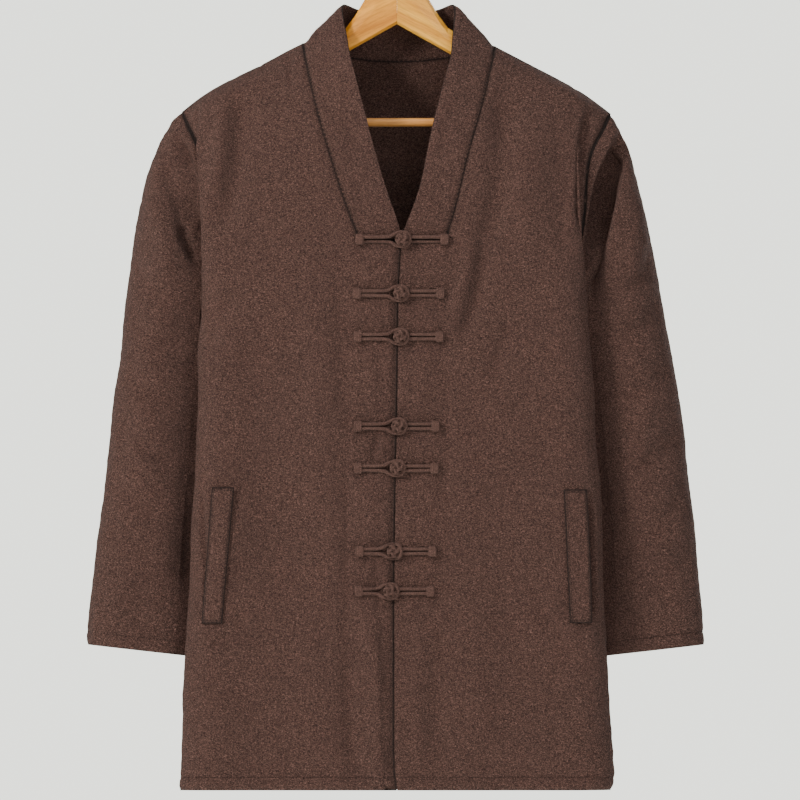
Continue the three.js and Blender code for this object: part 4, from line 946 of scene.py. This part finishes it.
for i, z in enumerate(FROGS["z"]):
    knot_x = FROGS["knot_x"][i]
    loop_end = FROGS["loop_end_x"][i] + BINDING["length"] / 2
    knot_end = FROGS["knot_end_x"][i] - BINDING["length"] / 2
    half = list(zip(LOOP_HALF["x"], LOOP_HALF["rise"], LOOP_HALF["lift"]))
    upper = [on_front(knot_x + x, z + rise, lift) for x, rise, lift in half]
    lower = [on_front(knot_x + x, z - rise, lift) for x, rise, lift in half[:-1]]
    start = on_front(loop_end, z + CORD_SPREAD, CORD_LIFT)
    end = on_front(loop_end, z - CORD_SPREAD, CORD_LIFT)
    loop_path = smooth_path([start, *upper, *reversed(lower), end], 110)
    parts = [tube(loop_path, CORD_RADIUS * MM, 12, twist=0.05), wrapped_end(loop_end, z, i)]
    dress(f"frog_{i + 1}_loop", parts, f"frog_loop_{i + 1}")

    middle = on_front(knot_x, z, KNOT["lift"])
    turn = math.radians(FROGS["turn"][i])
    parts = [tube(closed_weave(middle, turn), KNOT["strand"] * MM, 10, closed=True)]
    core = []
    for k in range(KNOT_CORE["steps"] + 1):
        share = k / KNOT_CORE["steps"] * 2 - 1
        core.append(middle + Vector((0, share * KNOT_CORE["half"], 0)) * MM)
    parts.append(tube(core, KNOT_CORE["radius"] * MM, 12, ridge=0))
    for up_down in (1, -1):
        tail = [on_front(knot_x + x, z + up_down * off, lift) for x, off, lift in TAIL]
        tail.append(on_front(knot_end, z + up_down * CORD_SPREAD, CORD_LIFT))
        parts.append(tube(smooth_path(tail, 40), CORD_RADIUS * MM, 12, twist=0.05))
    parts.append(wrapped_end(knot_end, z, i + 0.5))
    dress(f"frog_{i + 1}_knot", parts, f"frog_knot_{i + 1}")


# The stitches along the hem, the cuffs and the welts. A stitch's sections lie at shares of its half length,
# with radius and lift as shares of its own radius
STITCH = {"pitch": 3.6 * MM, "length": 2.5 * MM, "radius": 0.42 * MM, "sides": 6}
STITCH_SECTIONS = {
    "share": [-1, -0.8, 0, 0.8, 1],
    "radius": [0.15, 0.8, 1, 0.8, 0.15],
    "lift": [-0.5, -0.1, 0.5, -0.1, -0.5],
}


def edge_runs(shape, wanted):
    """Runs of the edge's wanted points in their order, with the ways out of the piece."""
    rim, points = shape["rim"], shape["dressed"]
    away = edge_ways(points, shape["normals"], rim)
    following = {int(a): int(b) for a, b in rim}
    ok = {i for i in following if wanted(points[i])}
    runs = []
    starts = [i for i in sorted(ok) if i not in {following[k] for k in ok}]
    seen = set()
    for start in starts + sorted(ok):
        if start in seen:
            continue
        run, i = [], start
        while i in ok and i not in seen:
            seen.add(i)
            run.append(i)
            i = following[i]
        if len(run) > 3:
            runs.append([(Vector(points[k]), Vector(away[k])) for k in run])
    return runs


def stitch_row(runs, inset, surface):
    """Small stitches on the cloth at a distance inside its edge."""
    count, rings = STITCH["sides"], len(STITCH_SECTIONS["share"]) - 1
    points, faces = [], []
    for run in runs:
        gone = 0.0
        for (p, a), (q, b) in zip(run, run[1:]):
            step = (q - p).length
            gone += step
            if gone < STITCH["pitch"] or step == 0:
                continue
            gone -= STITCH["pitch"]
            share = 1 - gone / step if gone < step else 0
            spot = p.lerp(q, share) - a.lerp(b, share).normalized() * inset
            place, normal, _, _ = surface.find_nearest(spot)
            along = (q - p) / step
            along = (along - normal * along.dot(normal)).normalized()
            across = normal.cross(along)
            base = len(points)
            for at, radius, lift in zip(*STITCH_SECTIONS.values()):
                middle = place + along * (at * STITCH["length"] / 2)
                for k in range(count):
                    angle = 2 * math.pi * k / count
                    round_way = across * math.cos(angle) + normal * (math.sin(angle) + lift)
                    points.append(middle + round_way * radius * STITCH["radius"])
            for ring in range(rings):
                here, there = base + ring * count, base + (ring + 1) * count
                for k in range(count):
                    m = (k + 1) % count
                    faces.append((here + k, here + m, there + m, there + k))
            faces.append(tuple(base + k for k in range(count))[::-1])
            faces.append(tuple(base + rings * count + k for k in range(count)))
    return points, faces


def sew(node, inset, wanted):
    """Adds the stitches inside the wanted edges of a piece of cloth."""
    points, faces = stitch_row(edge_runs(shapes[node], wanted), inset, surfaces[node])
    obj = mesh_object("stitches_" + node, points, faces, THREAD)
    outward(obj)
    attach(obj, "root")


for name in ("front_right", "front_left", "back", "sleeve_right", "sleeve_left"):
    sew(name, HEM_STITCH["inset"], lambda p: is_low_edge(name, p[2]))
for name in ("pocket_welt_right", "pocket_welt_left"):
    sew(name, WELT_STITCH_INSET, lambda p: True)


# The hanger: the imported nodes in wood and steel
def finish_node(node, material):
    obj = nodes[node]
    obj.data.materials.clear()
    obj.data.materials.append(material)


finish_node("hanger_arm_right", WOOD_RIGHT)
finish_node("hanger_arm_left", WOOD_LEFT)
finish_node("hanger_bar", WOOD_BAR)
finish_node("hanger_hook", STEEL)

# The thin line of glue in the joint between the two arms, from its low end up to the hook's hole
GLUE = {"half_x": 0.12, "z": [-139, -136, -108, -97, -96], "half_y": [1.5, 5.0, 6.2, 5.4, 4.6]}
glue_points = []
for side in (-1, 1):
    section = list(zip(GLUE["half_y"], GLUE["z"]))
    section += [(-y, z) for y, z in reversed(section)]
    glue_points += [Vector((side * GLUE["half_x"], y, z)) * MM for y, z in section]
ring = len(glue_points) // 2
glue_faces = [tuple(range(ring)), tuple(range(ring, 2 * ring))]
glue_faces += [(i, (i + 1) % ring, ring + (i + 1) % ring, ring + i) for i in range(ring)]
GLUE_LOOK = wood_material("glued_joint", (0.36, 0.14, 0.02), (0.52, 0.24, 0.05), 0.0)
glue = mesh_object("hanger_glue_line", glue_points, glue_faces, GLUE_LOOK, smooth=False)
outward(glue)
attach(glue, "root")


# Camera, light and room
def area_light(name, place, aim, size, power, colour):
    """A lamp with a flat, rectangular face."""
    light = bpy.data.lights.new(name, "AREA")
    light.shape = "RECTANGLE"
    light.size, light.size_y = size
    light.energy = power
    light.color = colour
    obj = bpy.data.objects.new(name, light)
    obj.location = place
    obj.rotation_euler = (Vector(aim) - Vector(place)).to_track_quat("-Z", "Y").to_euler()
    bpy.context.scene.collection.objects.link(obj)


camera_data = bpy.data.cameras.new("camera")
camera_data.sensor_width = SENSOR
camera_data.lens = CAMERA_DISTANCE * SENSOR / VIEW_WIDTH
camera_data.clip_end = CAMERA_REACH
camera = bpy.data.objects.new("camera", camera_data)
camera.location = VIEW_CENTRE + Vector((0, -CAMERA_DISTANCE, 0))
camera.rotation_euler = (math.pi / 2, 0, 0)
bpy.context.scene.collection.objects.link(camera)
bpy.context.scene.camera = camera

area_light("key", (-3.1, -2.9, 1.5), (0, 0, -0.5), (0.9, 0.9), 218, (1, 0.98, 0.95))
area_light("fill", (1.4, -3.9, 1.1), (0, 0, -0.2), (1.8, 1.8), 60, (0.97, 0.98, 1))
area_light("top", (-0.3, -1.1, 1.7), (0, 0, -0.3), (1.4, 0.9), 26, (1, 1, 1))
area_light("behind", (2.4, 3.4, 1.2), (0, 0, -0.5), (1.6, 1.6), 95, (1, 0.98, 0.96))
area_light("behind_fill", (-2.8, 3.0, 0.2), (0, 0, -0.5), (2.0, 2.0), 26, (0.97, 0.98, 1))

# The room: soft light all round, a paler backdrop where it is looked at directly, and a floor far below
ROOM_LIGHT = {"colour": (0.9, 0.92, 0.93, 1), "strength": 0.3}
BACKDROP = {"colour": (0.80, 0.812, 0.748, 1), "strength": 2.6}
FLOOR = {"z": -1.6, "half": 6.0, "colour": (0.80, 0.81, 0.785), "glow": 1.0}
world = bpy.data.worlds.new("room")
world.use_nodes = True
room = world.node_tree
light = room.nodes["Background"]
light.inputs["Color"].default_value = ROOM_LIGHT["colour"]
light.inputs["Strength"].default_value = ROOM_LIGHT["strength"]
backdrop = add(room, "ShaderNodeBackground")
backdrop.inputs["Color"].default_value = BACKDROP["colour"]
backdrop.inputs["Strength"].default_value = BACKDROP["strength"]
seen = add(room, "ShaderNodeLightPath")
either = add(room, "ShaderNodeMixShader")
room.links.new(seen.outputs["Is Camera Ray"], either.inputs[0])
room.links.new(light.outputs[0], either.inputs[1])
room.links.new(backdrop.outputs[0], either.inputs[2])
room.links.new(either.outputs[0], room.nodes["World Output"].inputs["Surface"])
bpy.context.scene.world = world
half, low = FLOOR["half"], FLOOR["z"]
floor_corners = [(-half, -half, low), (half, -half, low), (half, half, low), (-half, half, low)]
floor_look = plain_material("pale_floor", FLOOR["colour"], FLOOR["glow"])
mesh_object("floor", floor_corners, [(0, 1, 2, 3)], floor_look, smooth=False)
